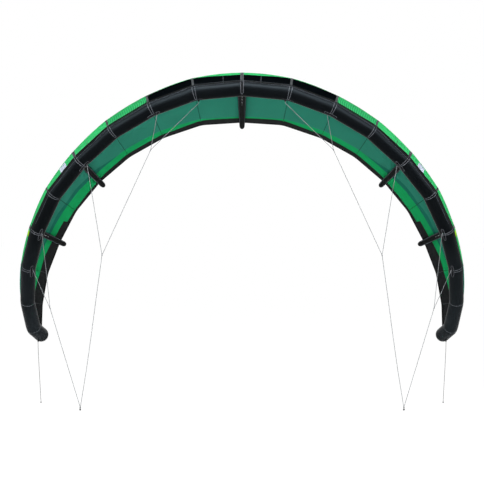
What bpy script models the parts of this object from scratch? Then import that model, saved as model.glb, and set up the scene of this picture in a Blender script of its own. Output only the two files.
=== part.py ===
"""Inflatable kitesurfing kite with five struts, in flight, with its bridle drawn tight.

Metres. +X runs across the wing, +Y back along the chord and +Z up. The origin is the middle of the
leading-edge tube, on its centreline. Ribs are counted from the middle: 0 at the middle, 10 at the
right wing tip (+X) and -10 at the left one.
"""

import math
from collections import namedtuple

import bmesh
import bpy
from mathutils import Vector

# Wing plan. The chord is measured from the tube's centreline to the trailing edge.
HALF_SPAN = 2.056
ARC_DROP = 2.292
TIP_SETBACK = 1.375
ROOT_CHORD = 1.600
CANOPY_BULGE = 0.172

# Leading edge, struts and cloth
TUBE_RADIUS = 0.0738
STRUT_FRONT_RADIUS = 0.0465
STRUT_REAR_RADIUS = 0.0265
STRUT_ROOT_DEPTH = 0.022
STRUT_TAIL = 0.020
CASING_WALL = 0.0015
BLADDER_WALL = 0.0010
BLADDER_CLEARANCE = 0.0005
CANOPY_THICKNESS = 0.0020
SEWN_GAP = 0.0003
CANOPY_GAP = 0.0005
STRUT_GAP = 0.0014
CUT_OVERRUN = 0.010

# Bridle tabs: webbing tongues sewn on the tube just inboard of a seam
TAB_WIDTH = 0.018
TAB_THICKNESS = 0.006
TAB_REACH = 0.016
TAB_INBOARD = 0.030

# Hoses that fill the struts from the leading edge, and their clips
HOSE_RADIUS = 0.008
HOSE_WALL = 0.002
HOSE_INBOARD = 0.100
HOSE_STUB = 0.009
HOSE_TUBE_HANDLE = 0.070
HOSE_STRUT_HANDLE = 0.060
CLIP_WIDTH = 0.012
CLIP_BAR = 0.004
CLIP_POST = 0.004
CLIP_HOOK = 0.003

# Valves
INFLATE_BORE = 0.014
DUMP_BORE = 0.020
VALVE_WALL = 0.004
VALVE_FLANGE = 0.012
VALVE_FLANGE_THICKNESS = 0.003
VALVE_DEPTH = 0.012
CAP_THICKNESS = 0.004
CAP_PLUG = 0.003
CAP_PLUG_CLEARANCE = 0.001
CAP_INSET = 0.004
STRAP_WIDTH = 0.010
STRAP_THICKNESS = 0.002

# Lines and knots
BRIDLE_RADIUS = 0.00175
LEADER_RADIUS = 0.0020
PIGTAIL_EYE_RADIUS = 0.005
PIGTAIL_LENGTH = 0.027
PIGTAIL_KNOT_RADIUS = 0.008
PIGTAIL_WAIST_RADIUS = 0.0035
LEADER_KNOT_LENGTH = 0.014
LEADER_KNOT_RADIUS = 0.0055
KNOT_END_SHARE = 0.6
PIGTAIL_KNOT_SHARES = (1.4, 0.4)
LEADER_KNOT_SHARES = (0.25, 0.75)

# Each rib's leading edge, across, down and back, as shares of HALF_SPAN, ARC_DROP and TIP_SETBACK, and
# its trailing edge, inward, down and back from there, as shares of ROOT_CHORD
RIB_PLACE_SHARES = (
    (0.000, 0.000, 0.000, 0.000, 0.125, 1.000),
    (0.207, 0.017, 0.013, 0.015, 0.117, 0.989),
    (0.398, 0.078, 0.047, 0.023, 0.110, 0.957),
    (0.571, 0.166, 0.104, 0.036, 0.102, 0.904),
    (0.718, 0.281, 0.184, 0.043, 0.093, 0.829),
    (0.844, 0.413, 0.291, 0.058, 0.084, 0.731),
    (0.928, 0.558, 0.418, 0.066, 0.068, 0.616),
    (0.982, 0.710, 0.565, 0.062, 0.043, 0.480),
    (1.000, 0.856, 0.727, 0.053, 0.025, 0.325),
    (0.985, 0.969, 0.887, 0.032, -0.016, 0.169),
    (0.958, 1.000, 1.000, -0.005, -0.012, 0.085),
)
TUBE_RADIUS_SHARES = (1.00, 1.00, 0.99, 0.98, 0.965, 0.95, 0.94, 0.93, 0.93, 0.95, 0.96)
BULGE_SHARES = (1.00, 0.91, 0.84, 0.77, 0.70, 0.59, 0.49, 0.41, 0.29, 0.14, 0.06)
SEAM_DEGREES = (135, 135, 135, 134, 132, 128, 122, 112, 98, 76, 48)
CREST_SHARE = 0.29
CREST_STEP_SHARES = (0.0, 0.08, 0.30, 0.62)
TAIL_DIP_SHARE = 0.06
STRUT_FRONT_SHARES = {0: 1.00, 4: 0.70, 6: 0.68}
STRUT_TAPER_POWER = 3
ROOT_DEPTH_END_SHARE = 0.35
INFLATE_BAY_SHARE = 0.55
DUMP_BAY_SHARE = 0.62

# Places around the tube in degrees: 0 points back, 90 out of the arch, -90 into it and 180 forward
TAB_DEGREES = {1: -99, 2: -117, 4: -117, 6: -135, 7: -135, 10: 144}
VALVE_DEGREES = -9
HOSE_DEGREES = 9

TUBE_SIDES = 20
STRUT_SIDES = 12
HOSE_SIDES = 8
TURNED_SIDES = 16
PORT_SIDES = 10
DOME_DEGREES = (0, 30, 60, 82)
PIGTAIL_EYE_DEGREES = (12, 40, 70, 100, 130)
TAIL_STEPS = 5
HOSE_STEPS = 7
LINE_STEPS = 2
FRONT_STEP = 1.7
BLADDER_FRONT_STEP = 2.45
BLADDER_AIR_STEP = 2.46
HOSE_STRUT_STEP = 2.8
SHARP_DEGREES = 35
TIP = 10
STRUT_RIBS = (-6, -4, 0, 4, 6)
PANEL_ENDS = ((0, 4, "inner"), (4, 6, "middle"), (6, TIP, "tip"))

# Places of the lines on the right side, mirrored on the left. Each runs from its tab on the tube.
INNER_LINE = (
    (0.3888, -0.0071, -0.1230),
    (0.3884, -0.0087, -0.1288),
    (0.3920, -0.0094, -0.1381),
    (0.4005, -0.0077, -0.1464),
    (0.8060, 0.0757, -0.5330),
    (0.8272, 0.0800, -0.5537),
    (0.8399, 0.0831, -0.5807),
    (1.2633, 0.1869, -1.4793),
    (1.2760, 0.1900, -1.5063),
    (1.2805, 0.1934, -1.5358),
    (1.4848, 0.3478, -2.8854),
    (1.4873, 0.3497, -2.8965),
    (1.4878, 0.3500, -2.9047),
)
SECOND_LINE = (
    (0.7701, 0.0134, -0.2416),
    (0.7688, 0.0102, -0.2465),
    (0.7684, 0.0084, -0.2563),
    (0.7705, 0.0112, -0.2678),
    (0.8258, 0.0782, -0.5460),
)
THIRD_LINE = (
    (1.4156, 0.1991, -0.6888),
    (1.4129, 0.1960, -0.6932),
    (1.4096, 0.1932, -0.7022),
    (1.4075, 0.1932, -0.7140),
    (1.2774, 0.1900, -1.4984),
)
FOURTH_LINE = (
    (1.8622, 0.5000, -1.3043),
    (1.8599, 0.4957, -1.3078),
    (1.8571, 0.4924, -1.3168),
    (1.8559, 0.4943, -1.3286),
    (1.7965, 0.6016, -1.9964),
)
OUTER_LINE = (
    (1.9716, 0.7035, -1.6492),
    (1.9688, 0.6993, -1.6525),
    (1.9640, 0.6945, -1.6599),
    (1.9586, 0.6918, -1.6703),
    (1.8091, 0.6099, -1.9793),
    (1.7956, 0.6030, -2.0052),
    (1.7864, 0.5953, -2.0327),
    (1.4955, 0.3528, -2.8885),
    (1.4930, 0.3507, -2.8958),
    (1.4922, 0.3500, -2.9007),
    (1.4922, 0.3500, -2.9047),
)
REAR_LEADER = (
    (1.9937, 1.3177, -2.3601),
    (1.9934, 1.3177, -2.3650),
    (1.9914, 1.3177, -2.4300),
    (1.9643, 1.3177, -2.9450),
)
LEADER_POINT_SHARE = 0.15
PIGTAIL_PLACE = (1.4900, 0.3500, -2.9103)
BRIDLE_LINES = (
    ("bridle_inner", INNER_LINE),
    ("bridle_second", SECOND_LINE),
    ("bridle_third", THIRD_LINE),
    ("bridle_fourth", FOURTH_LINE),
    ("bridle_outer", OUTER_LINE),
)

Rib = namedtuple("Rib", "centre along back out radius tail chord seam bulge")


def material(name, colour, roughness):
    made = bpy.data.materials.new(name)
    made.use_nodes = True
    shader = made.node_tree.nodes["Principled BSDF"]
    shader.inputs["Base Color"].default_value = (*colour, 1.0)
    shader.inputs["Roughness"].default_value = roughness
    shader.inputs["Metallic"].default_value = 0.0
    made.diffuse_color = (*colour, 1.0)
    return made


# Solids from rings of points


def solid(name, rings, finish, ends="caps", origin=None, left=0):
    """A closed solid skinned over rings of equal count. Its ends are caps, or strips across a flat
    ring's two long sides, or they meet in a loop. Both sides of a cloth, and the two halves of the
    wing, of which the left one has this many bays, fold along matching diagonals."""
    origin = origin or Vector()
    shape = bmesh.new()
    loops = [[shape.verts.new(point - origin) for point in ring] for ring in rings]
    pairs = list(zip(loops, loops[1:]))
    if ends == "loop":
        pairs.append((loops[-1], loops[0]))
    for bay, (first, second) in enumerate(pairs):
        for index in range(len(first)):
            after = (index + 1) % len(first)
            corners = [first[index], first[after], second[after], second[index]]
            if (bay < left) != (ends == "strips" and index >= len(first) // 2):
                corners = corners[1:] + corners[:1]
            shape.faces.new(corners[:3])
            shape.faces.new((corners[2], corners[3], corners[0]))
    for last in (loops[0], loops[-1]):
        if ends == "caps":
            shape.faces.new(last)
        elif ends == "strips":
            for index in range(len(last) // 2 - 1):
                shape.faces.new((last[index], last[index + 1], last[-2 - index], last[-1 - index]))
    bmesh.ops.recalc_face_normals(shape, faces=shape.faces)
    mesh = bpy.data.meshes.new(name)
    shape.to_mesh(mesh)
    shape.free()
    mesh.shade_smooth()
    mesh.set_sharp_from_angle(angle=math.radians(SHARP_DEGREES))
    made = bpy.data.objects.new(name, mesh)
    made.location = origin
    bpy.context.scene.collection.objects.link(made)
    if finish:
        mesh.materials.append(finish)
    return made


def cutter(name, rings, left=0):
    made = solid(name, rings, None, left=left)
    made.hide_render = True
    made.display_type = "WIRE"
    return made


def boolean(target, other, operation):
    step = target.modifiers.new(other.name, "BOOLEAN")
    step.operation = operation
    step.solver = "EXACT"
    step.object = other


def turned(profile, place, axis, sides=TURNED_SIDES):
    """Rings of a turned piece from (radius, height) pairs along an axis."""
    axis = axis.normalized()
    side = axis.orthogonal().normalized()
    other = axis.cross(side)
    turns = [2 * math.pi * step / sides for step in range(sides)]
    return [
        [place + axis * height + radius * (math.cos(turn) * side + math.sin(turn) * other) for turn in turns]
        for radius, height in profile
    ]


def prism(outline, place, first, second, along, length):
    """Two rings of an outline of (first, second) pairs, half a length to each side of a place."""
    flat = [place + first * across + second * up for across, up in outline]
    return [[point + along * end for point in flat] for end in (-length / 2, length / 2)]


# The wing's ribs


def mirror(vector, side):
    return Vector((vector.x * side, vector.y, vector.z))


def leading_place(number):
    across, down, back = RIB_PLACE_SHARES[abs(number)][:3]
    place = Vector((across * HALF_SPAN, back * TIP_SETBACK, -down * ARC_DROP))
    return mirror(place, math.copysign(1, number))


def trailing_place(number):
    inward, down, back = RIB_PLACE_SHARES[abs(number)][3:]
    place = leading_place(abs(number)) + ROOT_CHORD * Vector((-inward, back, -down))
    return mirror(place, math.copysign(1, number))


def make_rib(number):
    centre = leading_place(number)
    tail = trailing_place(number)
    before = leading_place(max(number - 1, -TIP))
    after = leading_place(min(number + 1, TIP))
    along = Vector()
    for end in (centre - before, after - centre):
        if end.length > 0:
            along += end.normalized()
    along.normalize()
    chord = tail - centre
    back = (chord - chord.dot(along) * along).normalized()
    step = abs(number)
    return Rib(
        centre,
        along,
        back,
        along.cross(back),
        TUBE_RADIUS * TUBE_RADIUS_SHARES[step],
        tail,
        chord,
        math.radians(SEAM_DEGREES[step]),
        CANOPY_BULGE * BULGE_SHARES[step],
    )


RIBS = {number: make_rib(number) for number in range(-TIP, TIP + 1)}


def tube_frame(place):
    """The tube between two ribs, at a rib count that isn't whole: a rib with mixed values."""
    low = math.floor(place)
    share = place - low
    if share == 0:
        return RIBS[low]
    first, second = RIBS[low], RIBS[low + 1]
    along = (second.centre - first.centre).normalized()
    back = first.back.lerp(second.back, share)
    back = (back - back.dot(along) * along).normalized()
    return Rib(
        first.centre.lerp(second.centre, share),
        along,
        back,
        along.cross(back),
        first.radius + (second.radius - first.radius) * share,
        first.tail.lerp(second.tail, share),
        first.chord.lerp(second.chord, share),
        first.seam,
        first.bulge,
    )


def around(rib, turn):
    return math.cos(turn) * rib.back + math.sin(turn) * rib.out


def tube_ring(rib, radius, shift=0.0):
    turns = [2 * math.pi * step / TUBE_SIDES for step in range(TUBE_SIDES)]
    return [rib.centre + shift * rib.along + radius * around(rib, turn) for turn in turns]


def tube_rings(low, high, inset, start=0.0, end=0.0):
    """Rings of the leading-edge tube from rib to rib, this far inside its surface, with round wing tips."""
    rings = []
    if low == -TIP:
        tip = RIBS[-TIP]
        for turn in map(math.radians, reversed(DOME_DEGREES[1:])):
            radius = tip.radius - inset
            rings.append(tube_ring(tip, radius * math.cos(turn), -radius * math.sin(turn)))
    for number in range(low, high + 1):
        rib = RIBS[number]
        shift = start if number == low else end if number == high else 0.0
        rings.append(tube_ring(rib, rib.radius - inset, shift))
    if high == TIP:
        tip = RIBS[TIP]
        for turn in map(math.radians, DOME_DEGREES[1:]):
            radius = tip.radius - inset
            rings.append(tube_ring(tip, radius * math.cos(turn), radius * math.sin(turn)))
    return rings


def bay_place(number, distance):
    """The rib count at a distance inboard of a rib, along the tube."""
    side = math.copysign(1, number) if number else -1
    bay = (RIBS[number].centre - RIBS[int(number - side)].centre).length
    return number - side * distance / bay


# The canopy's line at each rib


def hermite(start, leave, end, arrive, share):
    square, cube = share**2, share**3
    return (
        (2 * cube - 3 * square + 1) * start
        + (cube - 2 * square + share) * leave
        + (3 * square - 2 * cube) * end
        + (cube - square) * arrive
    )


def canopy_line(rib):
    """The underside of the canopy at a rib, as places from its seam on the tube to the trailing edge."""
    start = rib.centre + (rib.radius + CANOPY_GAP) * around(rib, rib.seam)
    leave = math.sin(rib.seam) * rib.back - math.cos(rib.seam) * rib.out
    crest = start.lerp(rib.tail, CREST_SHARE) + rib.out * rib.bulge
    level = (rib.tail - start).normalized()
    down = ((rib.tail - crest).normalized() - TAIL_DIP_SHARE * rib.out).normalized()
    front, rear = (crest - start).length, (rib.tail - crest).length
    places = [hermite(start, leave * front, crest, level * front, share) for share in CREST_STEP_SHARES]
    places += [
        hermite(crest, level * rear, rib.tail, down * rear, step / TAIL_STEPS) for step in range(TAIL_STEPS + 1)
    ]
    return places


def canopy_loop(number, shift):
    """One closed outline of the canopy cloth at a rib: its underside back, then its top side forward."""
    rib = RIBS[number]
    low = [place + shift * rib.along for place in canopy_line(rib)]
    high = []
    for index, place in enumerate(low):
        run = low[min(index + 1, len(low) - 1)] - low[max(index - 1, 0)]
        high.append(place + CANOPY_THICKNESS * rib.along.cross(run).normalized())
    return low + high[::-1]


# Struts


def strut_ring(number, step, inset, shift=0.0):
    """A strut's cross-section at a step of the canopy's line, this far inside the strut's surface."""
    rib = RIBS[number]
    line = canopy_line(rib)
    index = min(int(step), len(line) - 2)
    chord = rib.chord.normalized()
    across = chord.cross(rib.out).normalized()
    half = []
    for count in (index, index + 1):
        share = count / (len(line) - 1)
        front = STRUT_FRONT_RADIUS * STRUT_FRONT_SHARES[abs(number)]
        width = front + (STRUT_REAR_RADIUS - front) * share**STRUT_TAPER_POWER
        depth = width + STRUT_ROOT_DEPTH * max(0.0, 1 - share / ROOT_DEPTH_END_SHARE) ** 2
        half.append((line[count] - rib.out * (STRUT_GAP + depth), width, depth))
    (first, width, depth), (second, next_width, next_depth) = half
    share = step - index
    centre = first.lerp(second, share) + chord * shift
    width += (next_width - width) * share - inset
    depth += (next_depth - depth) * share - inset
    turns = [2 * math.pi * count / STRUT_SIDES for count in range(STRUT_SIDES)]
    return [centre + width * math.cos(turn) * across + depth * math.sin(turn) * rib.out for turn in turns]


def strut_rings(number, first_step, inset, shift=0.0):
    """Rings from a step of the canopy's line to the trailing edge, and a round end past it."""
    last = len(CREST_STEP_SHARES) + TAIL_STEPS
    steps = [first_step] + [step for step in range(last + 1) if step > first_step]
    rings = [strut_ring(number, step, inset) for step in steps]
    if shift:
        rings.insert(0, strut_ring(number, first_step, inset, shift))
    rib = RIBS[number]
    line = canopy_line(rib)
    run = (line[-1] - line[-2]).normalized()
    end = rings[-1]
    middle = sum(end, Vector()) / len(end)
    radius = STRUT_REAR_RADIUS - inset
    for turn in map(math.radians, DOME_DEGREES):
        centre = middle + run * (STRUT_TAIL + radius * math.sin(turn))
        rings.append([centre + (point - middle) * math.cos(turn) for point in end])
    return rings


# Hoses and ports


def side_of(number):
    return math.copysign(1, number) if number else -1


def hose_ends(number):
    """Where a hose meets the tube and the strut: each place with the way out of that wall."""
    frame = tube_frame(bay_place(number, HOSE_INBOARD))
    tube_way = around(frame, math.radians(HOSE_DEGREES))
    flat = math.cos(math.pi / TUBE_SIDES)
    tube_end = frame.centre + frame.radius * flat * tube_way
    ring = strut_ring(number, HOSE_STRUT_STEP, 0.0)
    edge = ring[STRUT_SIDES // 2] if side_of(number) > 0 else ring[0]
    middle = sum(ring, Vector()) / len(ring)
    return (tube_end, tube_way), (edge, (edge - middle).normalized())


def hose_path(number):
    (tube_end, tube_way), (strut_end, strut_way) = hose_ends(number)
    first, second = tube_end + HOSE_TUBE_HANDLE * tube_way, strut_end + HOSE_STRUT_HANDLE * strut_way
    path = [tube_end - HOSE_STUB * tube_way]
    for step in range(HOSE_STEPS + 1):
        share = step / HOSE_STEPS
        rest = 1 - share
        path.append(
            rest**3 * tube_end
            + 3 * rest**2 * share * first
            + 3 * rest * share**2 * second
            + share**3 * strut_end
        )
    path.append(strut_end - HOSE_STUB * strut_way)
    return path


def path_frames(path):
    """Each place of a path with its direction and two sides, carried along without twist."""
    frames = []
    side = (path[1] - path[0]).orthogonal().normalized()
    for index, place in enumerate(path):
        run = (path[min(index + 1, len(path) - 1)] - path[max(index - 1, 0)]).normalized()
        side = (side - side.dot(run) * run).normalized()
        frames.append((place, run, side, run.cross(side)))
    return frames


def pipe_rings(path, radius):
    turns = [2 * math.pi * step / HOSE_SIDES for step in range(HOSE_SIDES)]
    return [
        [place + radius * (math.cos(turn) * side + math.sin(turn) * other) for turn in turns]
        for place, run, side, other in path_frames(path)
    ]


def port_cutter(name, place, way, radius):
    outer = radius / math.cos(math.pi / PORT_SIDES)
    profile = ((outer, -CUT_OVERRUN - HOSE_STUB), (outer, CUT_OVERRUN))
    return cutter(name, turned(profile, place, way, PORT_SIDES))


def valve_place(side, bay_share):
    frame = tube_frame(side * bay_share)
    way = around(frame, math.radians(VALVE_DEGREES))
    flat = math.cos(math.pi / TUBE_SIDES)
    return frame.centre + frame.radius * flat * way, way, frame.along


# The whole kite


def side_name(number):
    return "left" if number < 0 else "right"


def strut_name(number):
    return "centre" if number == 0 else ("quarter" if abs(number) == 4 else "outer") + "_" + side_name(number)


def tab_frame(number):
    """A bridle tab's root on the tube's centreline, its direction and the tube's."""
    frame = tube_frame(bay_place(number, TAB_INBOARD))
    way = around(frame, math.radians(TAB_DEGREES[abs(number)]))
    return frame, way, frame.radius + TAB_REACH


def tab_end(number):
    frame, way, reach = tab_frame(number)
    return frame.centre + way * reach


def make_tab(number):
    frame, way, reach = tab_frame(number)
    thin = frame.along.cross(way)
    half = TAB_WIDTH / 2
    corner = TAB_THICKNESS / 2
    outline = (
        (-half, frame.radius / 2),
        (half, frame.radius / 2),
        (half, reach - corner),
        (half - corner, reach),
        (corner - half, reach),
        (-half, reach - corner),
    )
    return cutter(
        f"tab_shape_{number}", prism(outline, frame.centre, frame.along, way, thin, TAB_THICKNESS)
    )


def make_leading_edge(cloth, film, ports):
    half = TIP + len(DOME_DEGREES) - 1
    bore = cutter("tube_bore", tube_rings(-TIP, TIP, CASING_WALL), left=half)
    for low, high, part in PANEL_ENDS:
        for side in (-1, 1):
            name = f"leading_edge_{part}_{side_name(side)}"
            ends = sorted((low * side, high * side))
            start = SEWN_GAP / 2 if ends[0] > -TIP else 0.0
            end = -SEWN_GAP / 2 if ends[1] < TIP else 0.0
            casing = solid(name, tube_rings(*ends, 0.0, start, end), cloth, left=half if side < 0 else 0)
            for number in TAB_DEGREES:
                if low < number <= high:
                    boolean(casing, make_tab(number * side), "UNION")
            boolean(casing, bore, "DIFFERENCE")
            for place, port in ports:
                if ends[0] < place < ends[1]:
                    boolean(casing, port, "DIFFERENCE")
    inset = CASING_WALL + BLADDER_CLEARANCE
    bladder = solid("leading_edge_bladder", tube_rings(-TIP, TIP, inset), film, left=half)
    air = cutter("bladder_air", tube_rings(-TIP, TIP, inset + BLADDER_WALL), left=half)
    boolean(bladder, air, "DIFFERENCE")
    for _, port in ports:
        boolean(bladder, port, "DIFFERENCE")


def make_strut(number, cloth, film, port):
    name = strut_name(number)
    low, high = max(number - 1, -TIP), min(number + 1, TIP)
    left = number - low if number <= 0 else 0
    tube = cutter(f"tube_shape_{name}", tube_rings(low, high, -SEWN_GAP), left=left + (number < 0))
    casing = solid(f"strut_{name}", strut_rings(number, FRONT_STEP, 0.0), cloth)
    hollow = strut_rings(number, FRONT_STEP, CASING_WALL, -CUT_OVERRUN)
    boolean(casing, cutter(f"strut_bore_{name}", hollow), "DIFFERENCE")
    boolean(casing, tube, "DIFFERENCE")
    boolean(casing, port, "DIFFERENCE")
    inset = CASING_WALL + BLADDER_CLEARANCE
    bladder = solid(f"strut_bladder_{name}", strut_rings(number, BLADDER_FRONT_STEP, inset), film)
    air = cutter(f"strut_air_{name}", strut_rings(number, BLADDER_AIR_STEP, inset + BLADDER_WALL))
    boolean(bladder, air, "DIFFERENCE")
    boolean(bladder, port, "DIFFERENCE")


def make_canopy(teal, black):
    for low, high, part in PANEL_ENDS:
        for side in (-1, 1):
            ends = sorted((low * side, high * side))
            loops = []
            for number in range(ends[0], ends[1] + 1):
                inner_end = SEWN_GAP / 2 if number == ends[0] and number > -TIP else 0.0
                outer_end = -SEWN_GAP / 2 if number == ends[1] and number < TIP else 0.0
                loops.append(canopy_loop(number, inner_end + outer_end))
            finish = black if part == "tip" else teal
            name = f"canopy_{part}_{side_name(side)}"
            solid(name, loops, finish, ends="strips", left=TIP if side < 0 else 0)


def make_hose(number, rubber):
    path = hose_path(number)
    hose = solid(f"strut_hose_{strut_name(number)}", pipe_rings(path, HOSE_RADIUS), rubber)
    run = (path[-1] - path[-2]).normalized() * CUT_OVERRUN
    first = (path[0] - path[1]).normalized() * CUT_OVERRUN
    longer = [path[0] + first, *path, path[-1] + run]
    bore = cutter(f"hose_bore_{strut_name(number)}", pipe_rings(longer, HOSE_RADIUS - HOSE_WALL))
    boolean(hose, bore, "DIFFERENCE")


def make_clip(number, plastic):
    """A clip across a hose: a frame under it, and a jaw over it that swings up from one post."""
    path = hose_path(number)
    middle = len(path) // 2
    place = (path[middle - 1] + path[middle]) / 2
    run = (path[middle] - path[middle - 1]).normalized()
    rise = -RIBS[number].out
    rise = (rise - rise.dot(run) * run).normalized()
    wide = rise.cross(run)
    name = strut_name(number)
    room = HOSE_RADIUS + SEWN_GAP
    post = room + CLIP_POST
    frame_outline = (
        (-post, -room - CLIP_BAR),
        (post, -room - CLIP_BAR),
        (post, room),
        (room, room),
        (room, -room),
        (-room, -room),
        (-room, room),
        (-post, room),
    )
    solid(f"hose_clip_{name}", prism(frame_outline, place, wide, rise, run, CLIP_WIDTH), plastic)
    low, high = room + SEWN_GAP, room + SEWN_GAP + CLIP_BAR
    hook = post + SEWN_GAP
    jaw_outline = (
        (-post, low),
        (hook, low),
        (hook, low - CLIP_BAR),
        (hook + CLIP_HOOK, low - CLIP_BAR),
        (hook + CLIP_HOOK, high),
        (-post, high),
    )
    hinge = place - wide * post + rise * low
    solid(
        f"hose_clip_jaw_{name}",
        prism(jaw_outline, place, wide, rise, run, CLIP_WIDTH),
        plastic,
        origin=hinge,
    )


def make_valve(name, place, way, along, bore, plastic):
    """A flanged valve and its cap, which swings on a strap from the flange's inner edge."""
    neck = bore + VALVE_WALL
    flange = neck + VALVE_FLANGE
    seat = SEWN_GAP
    top = seat + VALVE_FLANGE_THICKNESS
    base = (
        (bore, -VALVE_DEPTH),
        (neck, -VALVE_DEPTH),
        (neck, seat),
        (flange, seat),
        (flange, top),
        (bore, top),
    )
    solid(f"{name}_valve", turned(base, place, way), plastic, ends="loop")
    plug = bore - CAP_PLUG_CLEARANCE
    rim = flange - CAP_INSET
    low = top + SEWN_GAP
    cap = ((plug, low - CAP_PLUG), (plug, low), (rim, low), (rim, low + CAP_THICKNESS))
    across = way.cross(along).normalized()
    hinge = place + way * low + across * flange
    lid = solid(f"{name}_valve_cap", turned(cap, place, way), plastic, origin=hinge)
    start, middle = rim - VALVE_FLANGE / 2, low + CAP_THICKNESS / 2
    strap = (
        (start, middle - STRAP_THICKNESS / 2),
        (flange, middle - STRAP_THICKNESS / 2),
        (flange, middle + STRAP_THICKNESS / 2),
        (start, middle + STRAP_THICKNESS / 2),
    )
    boolean(lid, cutter(f"{name}_strap", prism(strap, place, across, way, along, STRAP_WIDTH)), "UNION")


def make_line(name, route, radius, finish, origin=None):
    """A drawn-tight line: a tube along a smooth curve through the route's places."""
    origin = origin or Vector()
    places = []
    for index in range(len(route) - 1):
        first, second = route[index], route[index + 1]
        before = route[index - 1] if index else first * 2 - second
        after = route[index + 2] if index + 2 < len(route) else second * 2 - first
        length = (second - first).length
        leave = ((first - before).normalized() + (second - first).normalized()).normalized() * length
        arrive = ((second - first).normalized() + (after - second).normalized()).normalized() * length
        places += [hermite(first, leave, second, arrive, step / LINE_STEPS) for step in range(LINE_STEPS)]
    places.append(route[-1])
    curve = bpy.data.curves.new(name, "CURVE")
    curve.dimensions = "3D"
    curve.bevel_depth = radius
    curve.bevel_resolution = 2
    curve.use_fill_caps = True
    spline = curve.splines.new("POLY")
    spline.points.add(len(places) - 1)
    for point, place in zip(spline.points, places):
        point.co = (*(place - origin), 1.0)
    curve.materials.append(finish)
    made = bpy.data.objects.new(name, curve)
    made.location = origin
    bpy.context.scene.collection.objects.link(made)
    return made


def make_bridle(side, grey, dark):
    """The lines of one side, with the knots that the flying lines loop onto."""
    where = side_name(side)
    for name, route in BRIDLE_LINES:
        make_line(f"{name}_{where}", [mirror(Vector(place), side) for place in route], BRIDLE_RADIUS, grey)
    place = mirror(Vector(PIGTAIL_PLACE), side)
    eye = [
        (PIGTAIL_EYE_RADIUS * math.sin(turn), PIGTAIL_EYE_RADIUS * math.cos(turn))
        for turn in map(math.radians, PIGTAIL_EYE_DEGREES)
    ]
    low = -PIGTAIL_LENGTH
    upper, lower = PIGTAIL_KNOT_SHARES
    knot = (
        (PIGTAIL_WAIST_RADIUS, low + 2 * PIGTAIL_KNOT_RADIUS),
        (PIGTAIL_KNOT_RADIUS, low + upper * PIGTAIL_KNOT_RADIUS),
        (PIGTAIL_KNOT_RADIUS, low + lower * PIGTAIL_KNOT_RADIUS),
        (KNOT_END_SHARE * PIGTAIL_KNOT_RADIUS, low),
    )
    up = Vector((0, 0, 1))
    solid(f"front_pigtail_{where}", turned((*eye, *knot), place, up), dark, origin=place)
    route = [mirror(Vector(place), side) for place in REAR_LEADER]
    leader = make_line(f"rear_leader_{where}", route, LEADER_RADIUS, dark, origin=route[0])
    leader.data.splines[0].points[0].radius = LEADER_POINT_SHARE
    top = route[-1] - SEWN_GAP * up
    upper, lower = LEADER_KNOT_SHARES
    profile = (
        (KNOT_END_SHARE * LEADER_KNOT_RADIUS, 0.0),
        (LEADER_KNOT_RADIUS, -upper * LEADER_KNOT_LENGTH),
        (LEADER_KNOT_RADIUS, -lower * LEADER_KNOT_LENGTH),
        (KNOT_END_SHARE * LEADER_KNOT_RADIUS, -LEADER_KNOT_LENGTH),
    )
    solid(f"rear_leader_knot_{where}", turned(profile, top, up), dark, origin=route[0])


def main():
    for old in list(bpy.data.objects):
        bpy.data.objects.remove(old)
    cloth = material("leading_edge_cloth", (0.012, 0.013, 0.015), 0.75)
    strut_cloth = material("strut_cloth", (0.012, 0.013, 0.014), 0.75)
    teal = material("canopy_teal", (0.024, 0.184, 0.127), 0.55)
    black = material("canopy_black", (0.018, 0.019, 0.021), 0.6)
    film = material("bladder_film", (0.75, 0.78, 0.8), 0.3)
    rubber = material("hose_rubber", (0.6, 0.62, 0.62), 0.45)
    plastic = material("valve_plastic", (0.03, 0.03, 0.03), 0.45)
    clip_plastic = material("clip_plastic", (0.05, 0.05, 0.05), 0.5)
    grey = material("bridle_line", (0.13, 0.13, 0.13), 0.7)
    dark = material("pigtail_line", (0.03, 0.03, 0.03), 0.7)

    valves = []
    for name, side, bay_share, bore in (
        ("inflate", -1, INFLATE_BAY_SHARE, INFLATE_BORE),
        ("dump", 1, DUMP_BAY_SHARE, DUMP_BORE),
    ):
        place, way, along = valve_place(side, bay_share)
        make_valve(name, place, way, along, bore, plastic)
        neck_hole = port_cutter(f"valve_hole_{name}", place, way, bore + VALVE_WALL + SEWN_GAP)
        valves.append((side * bay_share, neck_hole))

    tube_ports = list(valves)
    hole = HOSE_RADIUS + SEWN_GAP
    for number in STRUT_RIBS:
        (tube_end, tube_way), (strut_end, strut_way) = hose_ends(number)
        name = strut_name(number)
        tube_port = port_cutter(f"tube_port_{name}", tube_end, tube_way, hole)
        tube_ports.append((bay_place(number, HOSE_INBOARD), tube_port))
        port = port_cutter(f"strut_port_{name}", strut_end, strut_way, hole)
        make_strut(number, strut_cloth, film, port)
        make_hose(number, rubber)
        make_clip(number, clip_plastic)
    make_leading_edge(cloth, film, tube_ports)
    make_canopy(teal, black)
    for side in (-1, 1):
        make_bridle(side, grey, dark)


main()
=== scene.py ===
"""The looks of an inflatable kitesurfing kite in flight, drawn over its CAD frame.

Metres, in the part's own frame: +X across the wing, +Y back along the chord and +Z up, from the
middle of the leading-edge tube. A place along the wing is a rib count, 0 in the middle and 10 at the
right tip. A place along the chord is a share, 0 at the leading edge and 1 at the trailing edge.
"""

from collections import namedtuple
from functools import lru_cache
from math import copysign, cos, exp, floor, pi, radians, sin

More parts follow.
